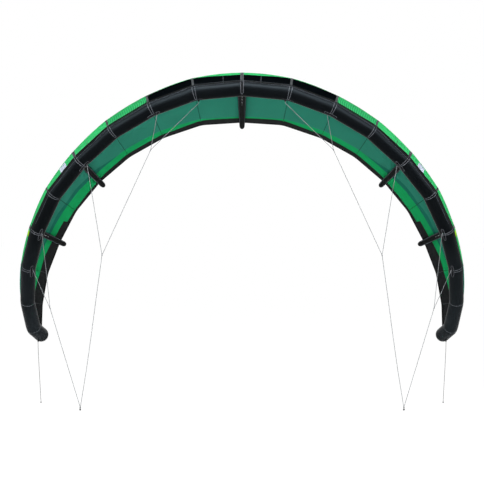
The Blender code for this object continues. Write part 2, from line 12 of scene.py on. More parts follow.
import bmesh
import bpy
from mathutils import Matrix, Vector

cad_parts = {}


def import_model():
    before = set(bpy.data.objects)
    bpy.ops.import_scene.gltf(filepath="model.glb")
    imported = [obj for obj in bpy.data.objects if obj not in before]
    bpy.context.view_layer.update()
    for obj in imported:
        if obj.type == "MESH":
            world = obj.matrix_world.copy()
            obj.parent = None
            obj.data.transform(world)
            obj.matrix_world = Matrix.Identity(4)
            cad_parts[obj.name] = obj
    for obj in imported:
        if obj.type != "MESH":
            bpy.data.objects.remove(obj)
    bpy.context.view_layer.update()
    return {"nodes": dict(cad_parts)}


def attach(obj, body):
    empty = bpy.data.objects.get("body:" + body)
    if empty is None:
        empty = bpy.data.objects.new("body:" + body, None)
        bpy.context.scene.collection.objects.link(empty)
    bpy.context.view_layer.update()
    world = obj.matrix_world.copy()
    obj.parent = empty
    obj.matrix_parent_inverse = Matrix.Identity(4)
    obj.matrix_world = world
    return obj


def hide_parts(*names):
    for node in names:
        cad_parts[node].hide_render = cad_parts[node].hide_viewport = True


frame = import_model()

# Wing plan, as in the part
HALF_SPAN = 2.056
ARC_DROP = 2.292
TIP_SETBACK = 1.375
ROOT_CHORD = 1.600
CANOPY_BULGE = 0.172
TUBE_RADIUS = 0.0738
STRUT_FRONT_RADIUS = 0.0465
STRUT_REAR_RADIUS = 0.0265
STRUT_ROOT_DEPTH = 0.022
STRUT_TAIL = 0.020
CANOPY_GAP = 0.0005
STRUT_GAP = 0.0014

# Each rib's leading edge, across, down and back, as shares of HALF_SPAN, ARC_DROP and TIP_SETBACK,
# and its trailing edge, inward, down and back from there, as shares of ROOT_CHORD
RIB_PLACE_SHARES = (
    (0.000, 0.000, 0.000, 0.000, 0.125, 1.000),
    (0.207, 0.017, 0.013, 0.015, 0.117, 0.989),
    (0.398, 0.078, 0.047, 0.023, 0.110, 0.957),
    (0.571, 0.166, 0.104, 0.036, 0.102, 0.904),
    (0.718, 0.281, 0.184, 0.043, 0.093, 0.829),
    (0.844, 0.413, 0.291, 0.058, 0.084, 0.731),
    (0.928, 0.558, 0.418, 0.066, 0.068, 0.616),
    (0.982, 0.710, 0.565, 0.062, 0.043, 0.480),
    (1.000, 0.856, 0.727, 0.053, 0.025, 0.325),
    (0.985, 0.969, 0.887, 0.032, -0.016, 0.169),
    (0.958, 1.000, 1.000, -0.005, -0.012, 0.085),
)
TUBE_RADIUS_SHARES = (1.00, 1.00, 0.99, 0.98, 0.965, 0.95, 0.94, 0.93, 0.93, 0.95, 0.96)
BULGE_SHARES = (1.00, 0.91, 0.84, 0.77, 0.70, 0.59, 0.49, 0.41, 0.29, 0.14, 0.06)
SEAM_DEGREES = (135, 135, 135, 134, 132, 128, 122, 112, 98, 76, 48)
CREST_SHARE = 0.29
STEP_SHARES = (0.0, 0.0232, 0.087, 0.1798, 0.29, 0.432, 0.574, 0.716, 0.858, 1.0)
TAIL_DIP_SHARE = 0.06
STRUT_FRONT_SHARES = {0: 1.00, 4: 0.70, 6: 0.68}
STRUT_TAPER_POWER = 3
ROOT_DEPTH_END_SHARE = 0.35
CORNER_EASE = 0.11
TIP = 10
STRUT_RIBS = (-6, -4, 0, 4, 6)

# Hoses and valves, as in the part
HOSE_RADIUS = 0.008
HOSE_INBOARD = 0.100
HOSE_DEGREES = 9
HOSE_TUBE_HANDLE = 0.070
HOSE_STRUT_HANDLE = 0.060
HOSE_STUB = 0.004
HOSE_STRUT_STEP = 2.8
COLLAR_PROFILE = (
    (0.0086, -0.003), (0.0150, 0.0), (0.0150, 0.0014), (0.0102, 0.0024), (0.0098, 0.0090), (0.0086, 0.0094)
)
PINCH_DEPTH = 0.0008
VALVE_DEGREES = -9
INFLATE_BORE = 0.014
DUMP_BORE = 0.020
VALVE_WALL = 0.004
VALVE_FLANGE = 0.012
VALVE_FLANGE_THICKNESS = 0.003
VALVE_DEPTH = 0.012
CAP_THICKNESS = 0.004
SEAT_GAP = 0.0003
JOIN_REACH = SEAT_GAP / 100
COVER_GAP = 0.0006
VALVES = (("inflate", -0.55, INFLATE_BORE), ("dump", 0.62, DUMP_BORE))

# Bridle tabs and the sewn patches under them
TAB_DEGREES = {1: -99, 2: -117, 4: -117, 6: -135, 7: -135, 10: 144}
TAB_WIDTH = 0.018
TAB_THICKNESS = 0.006
TAB_REACH = 0.016
TAB_INBOARD = 0.030
TAB_SINK = 0.003
WEBBING_MIDDLE_DEPTH = 0.0008
CLIP_EDGE = 0.0006
PATCH_HALF_LENGTH = 0.069
PATCH_HALF_WIDTH = 0.0135
PATCH_SIDES = 40
WEBBING_BORDER = 0.0007

# Heights over the tube: of a patch, ring by ring towards its middle, and of a band, across it
PATCH_PROFILE = ((1.0, -0.0004), (0.97, 0.0006), (0.6, 0.0006), (0.25, 0.0006))
BAND_PROFILE = (
    (-1.0, -0.0004), (-0.97, 0.0007), (-0.5, 0.0007), (0.0, 0.0007), (0.5, 0.0007), (0.97, 0.0007),
    (1.0, -0.0004),
)

# Finishes
PLAIN_GLOSS = 0.02
CLOTH_UNEVENNESS = 1.6
STITCH_ROUGHNESS = 0.7
STITCH_HEIGHT = 0.0004
# Painted sheen: where the leading edge's colour starts turning lighter towards its tips, and over how far
TIP_SHEEN_START = 2.4
TIP_SHEEN_LENGTH = 1.1

# Seams and stitching
STRIP_SINK = 0.0004
STRIP_TOP_SHARE = 0.8
STRAP_WIDTHS = {0: 0.032, 4: 0.034, 6: 0.034}
SHORT_STRAP_WIDTH = 0.022
NOSE_TAPE_WIDTH = 0.018
NOSE_TAPE_SHARE = 0.0055
NOSE_TAPE_REACH = 7.5
NOSE_SEAM_SHARE = 0.085
STRAP_LINE_SHARE = 0.36
SHORT_STRAP_END_SHARE = 0.2
UNDER_SEAM_START_SHARE = 0.12
SEAM_START_SHARE = 0.004
SEAM_END_SHARE = 0.985
GREEN_SEAM_SHARES = (0.916, 0.91, 0.88, 0.864, 0.846, 0.803, 0.74, 0.60, 0.0, 0.0)
BLACK_SEAM_SHARES = (0.945, 0.945, 0.945, 0.945, 0.945, 0.945, 0.84, 0.77, 0.0, 0.0)
HEM_HALF_LENGTH = 2.8
HEM_PROFILE = (
    (-0.020, 0.0016), (-0.004, 0.0018), (0.001, 0.0010), (0.001, -0.0010), (-0.004, -0.0018),
    (-0.020, -0.0016),
)
SHORT_SEAMS = (0.38, 3.6, 4.35, 5.65)
STRUT_DASH_STEPS = {0: (5.42, 6.5), 6: (5.42, 6.15)}
STRUT_DASH_PITCH = 0.080
STRUT_SEAM_LEAN = 0.6
PAIR_HALF_WIDTHS = {0: 0.0115, 1: 0.013, 2: 0.0125, 6: 0.010}
PAIR_HALF_WIDTH = 0.0112
PAIR_TOP_DEGREES = 128
PAIR_END_DEGREES = 240
SINGLE_SEAM_DEGREES = range(50, 311, 8)
STITCH_WIDTH = 0.0048
SEAM_LINE_WIDTH = 0.003
SHORT_SEAM_WIDTH = 0.0035
# Rows along the outer struts' sides: stitching widened into a painted highlight
STRUT_SEAM_SHEEN_WIDTH = 0.012
CENTRE_STRUT_SEAM_WIDTH = 0.007
STRUT_DASH_WIDTH = 0.005
STRUT_TAPE_WIDTH = 0.014
PIPING_RADIUS = 0.0022
JOINT_TAPE_WIDTH = 0.008
JOINT_TAPE_HEIGHT = 0.0008
# Two rows beside the joint: from which to which rib count, and how many degrees past the joint, in the
# middle and more for each rib count
JOINT_ROWS = ((0.0, 5.8, 4.0, 5.0), (0.8, 3.4, -2.5, 4.6))
JOINT_LINE_SHARE = 0.0088
BAND_MARGIN = 0.006
TAPE_WIDTH = 0.007
TAPE_HEIGHT = 0.0006
SEAM_DIP = 0.0012
SEAM_DIP_WIDTH = 0.016
CLOTH_THICKNESS = 0.0009
CLOTH_LIFT = 0.001
STRUT_WALL = 0.001
BLADDER_INSET = 0.0045
STRUT_BLADDER_INSET = 0.0035
STRUT_BLADDER_START = 2.5
BILLOW = 0.004
WRINKLE = 0.0011
# Where the cloth wrinkles: the rib count, how far round it, and how much
WRINKLED = ((4.4, 0.9, 1.0), (6.6, 0.8, 0.4))

# Lines, as in the part but drawn slightly thicker. Places on the right side, mirrored on the left
BRIDLE_RADIUS = 0.0023
LEADER_RADIUS = 0.0020
INNER_LINE = (
    (0.3888, -0.0071, -0.1230),
    (0.3884, -0.0087, -0.1288),
    (0.3920, -0.0094, -0.1381),
    (0.4005, -0.0077, -0.1464),
    (0.8060, 0.0757, -0.5330),
    (0.8272, 0.0800, -0.5537),
    (0.8399, 0.0831, -0.5807),
    (1.2633, 0.1869, -1.4793),
    (1.2760, 0.1900, -1.5063),
    (1.2805, 0.1934, -1.5358),
    (1.4848, 0.3478, -2.8854),
    (1.4873, 0.3497, -2.8965),
    (1.4878, 0.3500, -2.9047),
)
SECOND_LINE = (
    (0.7701, 0.0134, -0.2416),
    (0.7688, 0.0102, -0.2465),
    (0.7684, 0.0084, -0.2563),
    (0.7705, 0.0112, -0.2678),
    (0.8258, 0.0782, -0.5460),
)
THIRD_LINE = (
    (1.4156, 0.1991, -0.6888),
    (1.4129, 0.1960, -0.6932),
    (1.4096, 0.1932, -0.7022),
    (1.4075, 0.1932, -0.7140),
    (1.2774, 0.1900, -1.4984),
)
FOURTH_LINE = (
    (1.8622, 0.5000, -1.3043),
    (1.8599, 0.4957, -1.3078),
    (1.8571, 0.4924, -1.3168),
    (1.8559, 0.4943, -1.3286),
    (1.7965, 0.6016, -1.9964),
)
OUTER_LINE = (
    (1.9716, 0.7035, -1.6492),
    (1.9688, 0.6993, -1.6525),
    (1.9640, 0.6945, -1.6599),
    (1.9586, 0.6918, -1.6703),
    (1.8091, 0.6099, -1.9793),
    (1.7956, 0.6030, -2.0052),
    (1.7864, 0.5953, -2.0327),
    (1.4955, 0.3528, -2.8885),
    (1.4930, 0.3507, -2.8958),
    (1.4922, 0.3500, -2.9007),
    (1.4922, 0.3500, -2.9047),
)
REAR_LEADER = (
    (1.9937, 1.3177, -2.3601),
    (1.9934, 1.3177, -2.3650),
    (1.9914, 1.3177, -2.4300),
    (1.9643, 1.3177, -2.9450),
)
PIGTAIL_PLACE = (1.4900, 0.3500, -2.9103)
LINE_STEPS = 4

# Knots, as (radius, height) pairs, how far they hang below their lines, and the place and way of joins
HITCH_RADIUS = 0.0056
JOIN_CORE = ((0.0018, -0.010), (0.0036, -0.007), (0.0036, 0.007), (0.0018, 0.010))
PIGTAIL_CORE = ((0.0030, -0.008), (0.0034, -0.0115), (0.0056, -0.0135), (0.0056, -0.0240), (0.0034, -0.0262))
PIGTAIL_KNOT_DROP = 0.0188
LEADER_KNOT_CORE = ((0.0020, 0.0072), (0.0036, 0.0045), (0.0036, -0.0045), (0.0024, -0.0068))
LEADER_KNOT_DROP = 0.0073
# A coil's radius, length and turns, and the radius of its line
JOIN_COIL = (0.0033, 0.016, 6, 0.0013)
PIGTAIL_COIL = (0.0057, 0.0112, 3.5, 0.0021)
LEADER_COIL = (0.0037, 0.0096, 3, 0.0017)
EYE_HALF_WIDTH = 0.00304
EYE_HALF_HEIGHT = 0.0042
EYE_DROP = 0.0002
EYE_LINE_RADIUS = 0.0017
JOINS = (
    ("inner", INNER_LINE[5], (0.42, 0.10, -0.90)),
    ("middle", INNER_LINE[8], (0.15, 0.11, -1.0)),
    ("outer", OUTER_LINE[5], (-0.32, -0.27, -0.90)),
)

# The camera stands in front of the wing, level, at the height of the photograph's middle
CAMERA_PLACE = (-0.0005, -15.4, -1.386)
PHOTO_WIDTH_AT_ORIGIN = 4.356
SENSOR_MILLIMETRES = 36.0
FLOOR_HEIGHT = -3.25
FLOOR_REACH = 1500.0
FLOOR_GLOW = 1.06
FLOOR_GLOW_SHARE = 0.9

Frame = namedtuple("Frame", "centre along back out radius")
Rib = namedtuple("Rib", "centre along back out radius tail chord seam bulge")
Section = namedtuple("Section", "centre along back out radius tail seam start crest")
UP = Vector((0.0, 0.0, 1.0))


# The wing's shape


def mirror(vector, side):
    return Vector((vector[0] * side, vector[1], vector[2]))


def leading_place(number):
    across, down, back = RIB_PLACE_SHARES[abs(number)][:3]
    return mirror((across * HALF_SPAN, back * TIP_SETBACK, -down * ARC_DROP), copysign(1, number))


def trailing_place(number):
    inward, down, back = RIB_PLACE_SHARES[abs(number)][3:]
    place = leading_place(abs(number)) + ROOT_CHORD * Vector((-inward, back, -down))
    return mirror(place, copysign(1, number))


NUMBERS = range(-TIP, TIP + 1)
LEADING = {number: leading_place(number) for number in NUMBERS}
TRAILING = {number: trailing_place(number) for number in NUMBERS}
RADII = {number: TUBE_RADIUS * TUBE_RADIUS_SHARES[abs(number)] for number in NUMBERS}
SEAMS = {number: radians(SEAM_DEGREES[abs(number)]) for number in NUMBERS}


def make_rib(number):
    centre, tail = LEADING[number], TRAILING[number]
    before, after = LEADING[max(number - 1, -TIP)], LEADING[min(number + 1, TIP)]
    along = Vector()
    for run in (centre - before, after - centre):
        if run.length > 0:
            along += run.normalized()
    along.normalize()
    chord = tail - centre
    back = (chord - chord.dot(along) * along).normalized()
    bulge = CANOPY_BULGE * BULGE_SHARES[abs(number)]
    return Rib(centre, along, back, along.cross(back), RADII[number], tail, chord, SEAMS[number], bulge)


RIBS = {number: make_rib(number) for number in NUMBERS}


def around(rib, turn):
    return cos(turn) * rib.back + sin(turn) * rib.out


def seam_start(rib):
    return rib.centre + (rib.radius + CANOPY_GAP) * around(rib, rib.seam)


CRESTS = {
    number: seam_start(rib).lerp(rib.tail, CREST_SHARE) + rib.out * rib.bulge
    for number, rib in RIBS.items()
}


def tube_frame(place):
    """The straight tube between two ribs, as the part has it."""
    low = floor(place)
    share = place - low
    first, second = RIBS[low], RIBS[low + 1]
    along = (second.centre - first.centre).normalized()
    back = first.back.lerp(second.back, share)
    back = (back - back.dot(along) * along).normalized()
    radius = first.radius + (second.radius - first.radius) * share
    return Frame(first.centre.lerp(second.centre, share), along, back, along.cross(back), radius)


def beside(number, distance):
    """The rib count at a distance along the tube from a rib."""
    side = 1 if distance > 0 else -1
    other = number + side if abs(number + side) <= TIP else number - side
    return number + distance / (LEADING[number] - LEADING[other]).length


def inboard(number, distance):
    return beside(number, copysign(distance, -number))


def hermite(start, leave, end, arrive, share):
    square, cube = share**2, share**3
    return (
        (2 * cube - 3 * square + 1) * start
        + (cube - 2 * square + share) * leave
        + (3 * square - 2 * cube) * end
        + (cube - square) * arrive
    )


def rounded(points, place):
    """A place on the straight runs between the ribs, eased round each corner, and the run there."""
    near = max(-TIP, min(TIP, round(place)))
    away = place - near
    if abs(near) == TIP or abs(away) > CORNER_EASE:
        low = min(max(floor(place), -TIP), TIP - 1)
        run = points[low + 1] - points[low]
        return points[low] + run * (place - low), run
    before, after = points[near] - points[near - 1], points[near + 1] - points[near]
    share = (away + CORNER_EASE) / (2 * CORNER_EASE)
    place = points[near] + CORNER_EASE * (after * share**2 - before * (1 - share) ** 2)
    return place, before * (1 - share) + after * share


def splined(points, place):
    """A smooth curve through the ribs' values."""
    low = min(max(floor(place), -TIP), TIP - 1)
    first, second = points[low], points[low + 1]
    before = points.get(low - 1, first * 2 - second)
    after = points.get(low + 2, second * 2 - first)
    return hermite(first, (second - before) / 2, second, (after - first) / 2, place - low)


@lru_cache(maxsize=None)
def section(place):
    """The wing cut across at any place along it."""
    centre, along = rounded(LEADING, place)
    tail, _ = rounded(TRAILING, place)
    along = along.normalized()
    chord = tail - centre
    back = (chord - chord.dot(along) * along).normalized()
    radius, seam = splined(RADII, place), splined(SEAMS, place)
    out = along.cross(back)
    start = centre + (radius + CANOPY_GAP) * (cos(seam) * back + sin(seam) * out)
    return Section(centre, along, back, out, radius, tail, seam, start, splined(CRESTS, place))


def canopy_line(place, share):
    """The underside of the canopy."""
    cut = section(place)
    level = (cut.tail - cut.start).normalized()
    if share < CREST_SHARE:
        leave = sin(cut.seam) * cut.back - cos(cut.seam) * cut.out
        front = (cut.crest - cut.start).length
        return hermite(cut.start, leave * front, cut.crest, level * front, share / CREST_SHARE)
    rear = (cut.tail - cut.crest).length
    down = ((cut.tail - cut.crest).normalized() - TAIL_DIP_SHARE * cut.out).normalized()
    step = (share - CREST_SHARE) / (1 - CREST_SHARE)
    return hermite(cut.crest, level * rear, cut.tail, down * rear, step)


@lru_cache(maxsize=None)
def canopy_point(place, share, lift=0.0):
    """A point on the cloth, which billows a little between the ribs and draws into fine wrinkles
    beside them towards the trailing edge."""
    bay = place - floor(place)
    across = sin(pi * bay) ** 2
    fade = sin(pi * min(share / 0.97, 1.0))
    pulled = sum(most * exp(-((abs(place) - middle) ** 2) / reach) for middle, reach, most in WRINKLED)
    slant = 52 * share + 9 * abs(place) * (1 + 0.3 * share)
    ripple = sin(slant) * sin(2.7 * slant + 1.3 * abs(place))
    late = max(0.0, sin(pi * min(1.0, max(0.0, (share - 0.5) / 0.5))))
    height = lift + BILLOW * across * fade + WRINKLE * pulled * late * across * ripple
    spot = canopy_line(place, share)
    if not height:
        return spot
    step = 0.004
    first = canopy_line(min(place + step, TIP), share) - canopy_line(max(place - step, -TIP), share)
    second = canopy_line(place, min(share + step, 1.0)) - canopy_line(place, max(share - step, 0.0))
    return spot + first.cross(second).normalized() * height


def tube_point(place, turn, lift=0.0):
    """A point on the leading edge's cover, drawn in slightly along each seam."""
    cut = section(place)
    near = max(1 - TIP, min(TIP - 1, round(place)))
    away = (place - near) * (LEADING[near] - LEADING[near - 1]).length
    radius = cut.radius + lift - SEAM_DIP * exp(-((away / SEAM_DIP_WIDTH) ** 2))
    return cut.centre + radius * around(cut, turn)


def step_share(step):
    """The chord share at a step of the part's canopy line, whole or between two."""
    low = min(int(step), len(STEP_SHARES) - 2)
    return STEP_SHARES[low] + (STEP_SHARES[low + 1] - STEP_SHARES[low]) * (step - low)


def strut_section(number, step, inset=0.0):
    """A strut's centre and half width and depth at a step of the part's canopy line."""
    rib = RIBS[number]
    share = step / (len(STEP_SHARES) - 1)
    front = STRUT_FRONT_RADIUS * STRUT_FRONT_SHARES[abs(number)]
    width = front + (STRUT_REAR_RADIUS - front) * share**STRUT_TAPER_POWER
    depth = width + STRUT_ROOT_DEPTH * max(0.0, 1 - share / ROOT_DEPTH_END_SHARE) ** 2
    centre = canopy_line(number, step_share(step)) - rib.out * (STRUT_GAP + depth)
    return centre, width - inset, depth - inset


def strut_across(number):
    rib = RIBS[number]
    return rib.chord.normalized().cross(rib.out).normalized()


def strut_point(number, step, turn, inset=0.0):
    centre, width, depth = strut_section(number, step, inset)
    return centre + width * cos(turn) * strut_across(number) + depth * sin(turn) * RIBS[number].out


def side_name(number):
    return "left" if number < 0 else "right"


def strut_name(number):
    part = {0: "centre", 4: "quarter_", 6: "outer_"}[abs(number)]
    return part + side_name(number) if number else part


# Making pieces


def spread(low, high, count):
    return [low + (high - low) * step / count for step in range(count + 1)]


def circle(sides):
    return [2 * pi * step / sides for step in range(sides)]


def ring(place, side, other, radius, turns):
    return [place + radius * (cos(turn) * side + sin(turn) * other) for turn in turns]


def axes_of(axis):
    axis = axis.normalized()
    side = axis.orthogonal().normalized()
    return axis, side, axis.cross(side)


def ways_along(places, loop=False):
    """The way that a path runs at each of its places."""
    ahead, behind = places[1:] + places[:1], places[-1:] + places[:-1]
    if not loop:
        ahead[-1], behind[0] = places[-1], places[0]
    return [after - before for after, before in zip(ahead, behind)]


def run_lengths(places):
    """How far along a path each of its places lies."""
    runs = [0.0]
    for first, second in zip(places, places[1:]):
        runs.append(runs[-1] + (second - first).length)
    return runs


def add_skin(shape, rings, uv=None, wraps=True, caps=False, slot=0):
    """A skin over rings of equal count. uv gives a corner's place from its row and column."""
    layer = shape.loops.layers.uv.verify()
    loops = [[shape.verts.new(point) for point in points] for points in rings]
    count = len(rings[0])
    for row in range(len(rings) - 1):
        for column in range(count if wraps else count - 1):
            after = (column + 1) % count
            corners = (loops[row][column], loops[row][after], loops[row + 1][after], loops[row + 1][column])
            face = shape.faces.new(corners)
            face.smooth = True
            face.material_index = slot
            if uv:
                places = ((row, column), (row, column + 1), (row + 1, column + 1), (row + 1, column))
                for corner, (first, second) in zip(face.loops, places):
                    corner[layer].uv = uv(first, second)
    if caps:
        for end in (loops[0], loops[-1]):
            face = shape.faces.new(end)
            face.smooth = True
            face.material_index = slot


def add_strip(shape, places, ups, width, height, sink=STRIP_SINK, loop=False, slot=0):
    """A flat tape along places, standing this high over them. Its UV runs in metres and 0 to 1."""
    rings, runs = [], run_lengths(places)
    for place, up, run in zip(places, ups, ways_along(places, loop)):
        side = run.cross(up).normalized() * (width / 2)
        shoulder = STRIP_TOP_SHARE * side
        low, high = place - sink * up, place + height * up
        rings.append([low - side, high - shoulder, high + shoulder, low + side])
    if loop:
        rings.append(rings[0])
        runs.append(runs[-1] + (places[0] - places[-1]).length)
    across = (0.0, 0.1, 0.9, 1.0, 0.0)
    add_skin(shape, rings, lambda row, column: (runs[row], across[column]), caps=not loop, slot=slot)
    if loop:
        bmesh.ops.remove_doubles(shape, verts=shape.verts[-2 * len(rings) * 4:], dist=JOIN_REACH)


def path_frames(path):
    """Each place of a path with two sides, carried along without twist."""
    frames = []
    side = (path[1] - path[0]).orthogonal().normalized()
    for place, run in zip(path, ways_along(path)):
        run.normalize()
        side = (side - side.dot(run) * run).normalized()
        frames.append((place, side, run.cross(side)))
    return frames


def add_tube(shape, path, radius, sides):
    """A round tube along a path, of one radius or one for each place."""
    radii = radius if hasattr(radius, "__len__") else [radius] * len(path)
    rings = [ring(*sides_there, size, circle(sides)) for sides_there, size in zip(path_frames(path), radii)]
    runs = run_lengths(path)
    add_skin(shape, rings, lambda row, column: (runs[row], column / sides), caps=True)


def add_turned(shape, profile, place, axis, sides, loop=False):
    """A turned piece from (radius, height) pairs along an axis."""
    axis, side, other = axes_of(axis)
    rings = [ring(place + axis * height, side, other, radius, circle(sides)) for radius, height in profile]
    if loop:
        rings.append(rings[0])
    add_skin(shape, rings, lambda row, column: (column / sides, row / len(rings)), caps=not loop)
    if loop:
        bmesh.ops.remove_doubles(shape, verts=list(shape.verts), dist=JOIN_REACH)


def close_end(shape, sides):
    """A face over the last ring, of this many sides."""
    shape.verts.ensure_lookup_table()
    shape.faces.new(shape.verts[-sides:]).smooth = True


def make_piece(name, shape, finish, body="kite", stands_for=(), sharp=None):
    """An object from a shape, in one finish or in one for each material slot."""
    bmesh.ops.recalc_face_normals(shape, faces=shape.faces)
    mesh = bpy.data.meshes.new(name)
    shape.to_mesh(mesh)
    shape.free()
    if sharp:
        mesh.set_sharp_from_angle(angle=radians(sharp))
    for key in (finish,) if isinstance(finish, str) else finish:
        mesh.materials.append(FINISHES[key])
    return place_piece(bpy.data.objects.new(name, mesh), body, stands_for)


def place_piece(made, body, stands_for):
    """Every piece rides on its body, and hides the parts of the frame that it stands for."""
    bpy.context.scene.collection.objects.link(made)
    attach(made, body)
    if stands_for:
        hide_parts(*stands_for)
    return made


# Materials


def linear(*colour):
    """A shader colour from a screen colour of 0 to 255."""
    parts = [part / 255 for part in colour]
    return (*[part / 12.92 if part <= 0.04045 else ((part + 0.055) / 1.055) ** 2.4 for part in parts], 1.0)


def node(tree, kind, inputs=None, **settings):
    made = tree.nodes.new(kind)
    for key, value in settings.items():
        setattr(made, key, value)
    for key, value in (inputs or {}).items():
        if isinstance(value, bpy.types.NodeSocket):
            tree.links.new(value, made.inputs[key])
        else:
            made.inputs[key].default_value = value
    return made


def maths(tree, operation, *values, clamp=False):
    inputs = dict(enumerate(values))
    return node(tree, "ShaderNodeMath", inputs, operation=operation, use_clamp=clamp).outputs[0]


def mixed(tree, share, first, second):
    made = node(tree, "ShaderNodeMix", data_type="RGBA")
    for name, value in (("Factor_Float", share), ("A_Color", first), ("B_Color", second)):
        socket = next(s for s in made.inputs if s.identifier == name)
        if isinstance(value, bpy.types.NodeSocket):
            tree.links.new(value, socket)
        else:
            socket.default_value = value
    return next(s for s in made.outputs if s.identifier == "Result_Color")


def group(name, inputs, outputs):
    tree = bpy.data.node_groups.new(name, "ShaderNodeTree")
    for label, kind, value in inputs:
        socket = tree.interface.new_socket(label, in_out="INPUT", socket_type=kind)
        if value is not None:
            socket.default_value = value
    for label, kind in outputs:
        tree.interface.new_socket(label, in_out="OUTPUT", socket_type=kind)
    return tree, tree.nodes.new("NodeGroupInput").outputs, tree.nodes.new("NodeGroupOutput").inputs


def weave_group():
    """Threads over and under each other, and uneven dye."""
    tree, given, gives = group(
        "Woven Cloth",
        (
            ("Place", "NodeSocketVector", None),
            ("Pitch", "NodeSocketFloat", 0.004),
            ("Unevenness", "NodeSocketFloat", 0.3),
        ),
        (("Height", "NodeSocketFloat"), ("Thread", "NodeSocketFloat"), ("Dye", "NodeSocketFloat")),
    )
    place = given["Place"]
    ridges = []
    for along in node(tree, "ShaderNodeSeparateXYZ", {0: place}).outputs[:2]:
        turn = maths(tree, "MULTIPLY", maths(tree, "DIVIDE", along, given["Pitch"]), pi)
        ridges.append(maths(tree, "POWER", maths(tree, "ABSOLUTE", maths(tree, "COSINE", turn)), 14.0))
    thread = maths(tree, "MAXIMUM", *ridges)
    cloud = node(tree, "ShaderNodeTexNoise", {"Vector": place, "Scale": 3.0, "Detail": 3.0})
    uneven = maths(tree, "SUBTRACT", cloud.outputs["Fac"], 0.5)
    crinkle = node(tree, "ShaderNodeTexNoise", {"Vector": place, "Scale": 26.0, "Detail": 2.0})
    height = maths(tree, "ADD", maths(tree, "MULTIPLY", thread, 0.35), crinkle.outputs["Fac"])
    tree.links.new(height, gives["Height"])
    tree.links.new(thread, gives["Thread"])
    tree.links.new(maths(tree, "MULTIPLY_ADD", uneven, given["Unevenness"], 0.5), gives["Dye"])
    return tree


def stitch_group():
    """A row of slanted stitches along a tape whose UV runs in metres."""
    tree, given, gives = group(
        "Stitch Row",
        (
            ("Place", "NodeSocketVector", None),
            ("Stitch", "NodeSocketFloat", 0.006),
            ("Filled", "NodeSocketFloat", 0.7),
        ),
        (("Thread", "NodeSocketFloat"), ("Height", "NodeSocketFloat")),
    )
    run, across, _ = node(tree, "ShaderNodeSeparateXYZ", {0: given["Place"]}).outputs
    slant = maths(tree, "MULTIPLY_ADD", across, 0.3, maths(tree, "DIVIDE", run, given["Stitch"]))
    edge = maths(tree, "ABSOLUTE", maths(tree, "SUBTRACT", maths(tree, "FRACT", slant), 0.5))
    inside = maths(tree, "SUBTRACT", maths(tree, "MULTIPLY", given["Filled"], 0.5), edge)
    thread = maths(tree, "MULTIPLY", inside, 12.0, clamp=True)
    for name in ("Thread", "Height"):
        tree.links.new(thread, gives[name])
    return tree


def new_material(name, roughness, base=None, gloss=PLAIN_GLOSS, **sockets):
    made = bpy.data.materials.new(name)
    made.use_nodes = True
    shader = made.node_tree.nodes["Principled BSDF"]
    shader.inputs["Roughness"].default_value = roughness
    shader.inputs["Specular IOR Level"].default_value = gloss
    if base:
        shader.inputs["Base Color"].default_value = base
    for key, value in sockets.items():
        shader.inputs[key.replace("_", " ")].default_value = value
    return made, made.node_tree, shader


def bump(tree, shader, height, distance, strength=1.0):
    made = node(tree, "ShaderNodeBump", {"Height": height, "Distance": distance, "Strength": strength})
    tree.links.new(made.outputs[0], shader.inputs["Normal"])


def cloth_finish(weave, name, dark, light, roughness, pitch, depth, gloss=PLAIN_GLOSS, tip_sheen=None, **sockets):
    """A plain woven cloth on a piece whose UV runs in metres. Given tip colours, it turns to them far from
    the middle of its run: a painted sheen where the leading edge's tips mirror light.
    """
    made, tree, shader = new_material(name, roughness, gloss=gloss, **sockets)
    place = node(tree, "ShaderNodeUVMap").outputs[0]
    dark, light = linear(*dark), linear(*light)
    # Painted sheen: lighter colours towards the tips of the run
    if tip_sheen:
        run = node(tree, "ShaderNodeSeparateXYZ", {0: place}).outputs[0]
        away = maths(tree, "SUBTRACT", maths(tree, "ABSOLUTE", run), TIP_SHEEN_START)
        share = maths(tree, "DIVIDE", away, TIP_SHEEN_LENGTH, clamp=True)
        dark, light = (
            mixed(tree, share, colour, linear(*end)) for colour, end in zip((dark, light), tip_sheen)
        )
    given = {"Place": place, "Pitch": pitch, "Unevenness": CLOTH_UNEVENNESS}
    woven = node(tree, "ShaderNodeGroup", given, node_tree=weave).outputs
    shade = maths(tree, "MULTIPLY_ADD", woven["Thread"], 0.25, woven["Dye"], clamp=True)
    tree.links.new(mixed(tree, shade, dark, light), shader.inputs["Base Color"])
    bump(tree, shader, woven["Height"], depth)
    return made


def stitched_finish(stitches, name, cloth, thread, stitch, filled):
    made, tree, shader = new_material(name, STITCH_ROUGHNESS)
    given = {"Place": node(tree, "ShaderNodeUVMap").outputs[0], "Stitch": stitch, "Filled": filled}
    row = node(tree, "ShaderNodeGroup", given, node_tree=stitches).outputs
    tree.links.new(mixed(tree, row["Thread"], linear(*cloth), linear(*thread)), shader.inputs["Base Color"])
    bump(tree, shader, row["Height"], STITCH_HEIGHT)
    return made


def moulded_finish(name, dark, light, roughness, gloss, scale, detail, depth):
    made, tree, shader = new_material(name, roughness, gloss=gloss)
    grain = node(tree, "ShaderNodeTexNoise", {"Scale": scale, "Detail": detail}).outputs["Fac"]
    tree.links.new(mixed(tree, grain, linear(*dark), linear(*light)), shader.inputs["Base Color"])
    bump(tree, shader, grain, depth)
    return made


def edge_curve(tree, value, points):
    """A straight-sided curve of the chord's share against the span's, as a named list of points."""
    made = node(tree, "ShaderNodeFloatCurve", {"Value": value})
    curve = made.mapping.curves[0]
    while len(curve.points) < len(points):
        curve.points.new(0.5, 0.5)
    for point, (first, second) in zip(curve.points, points):
        point.location = (first, second)
        point.handle_type = "VECTOR"
    made.mapping.update()
    return made.outputs[0]


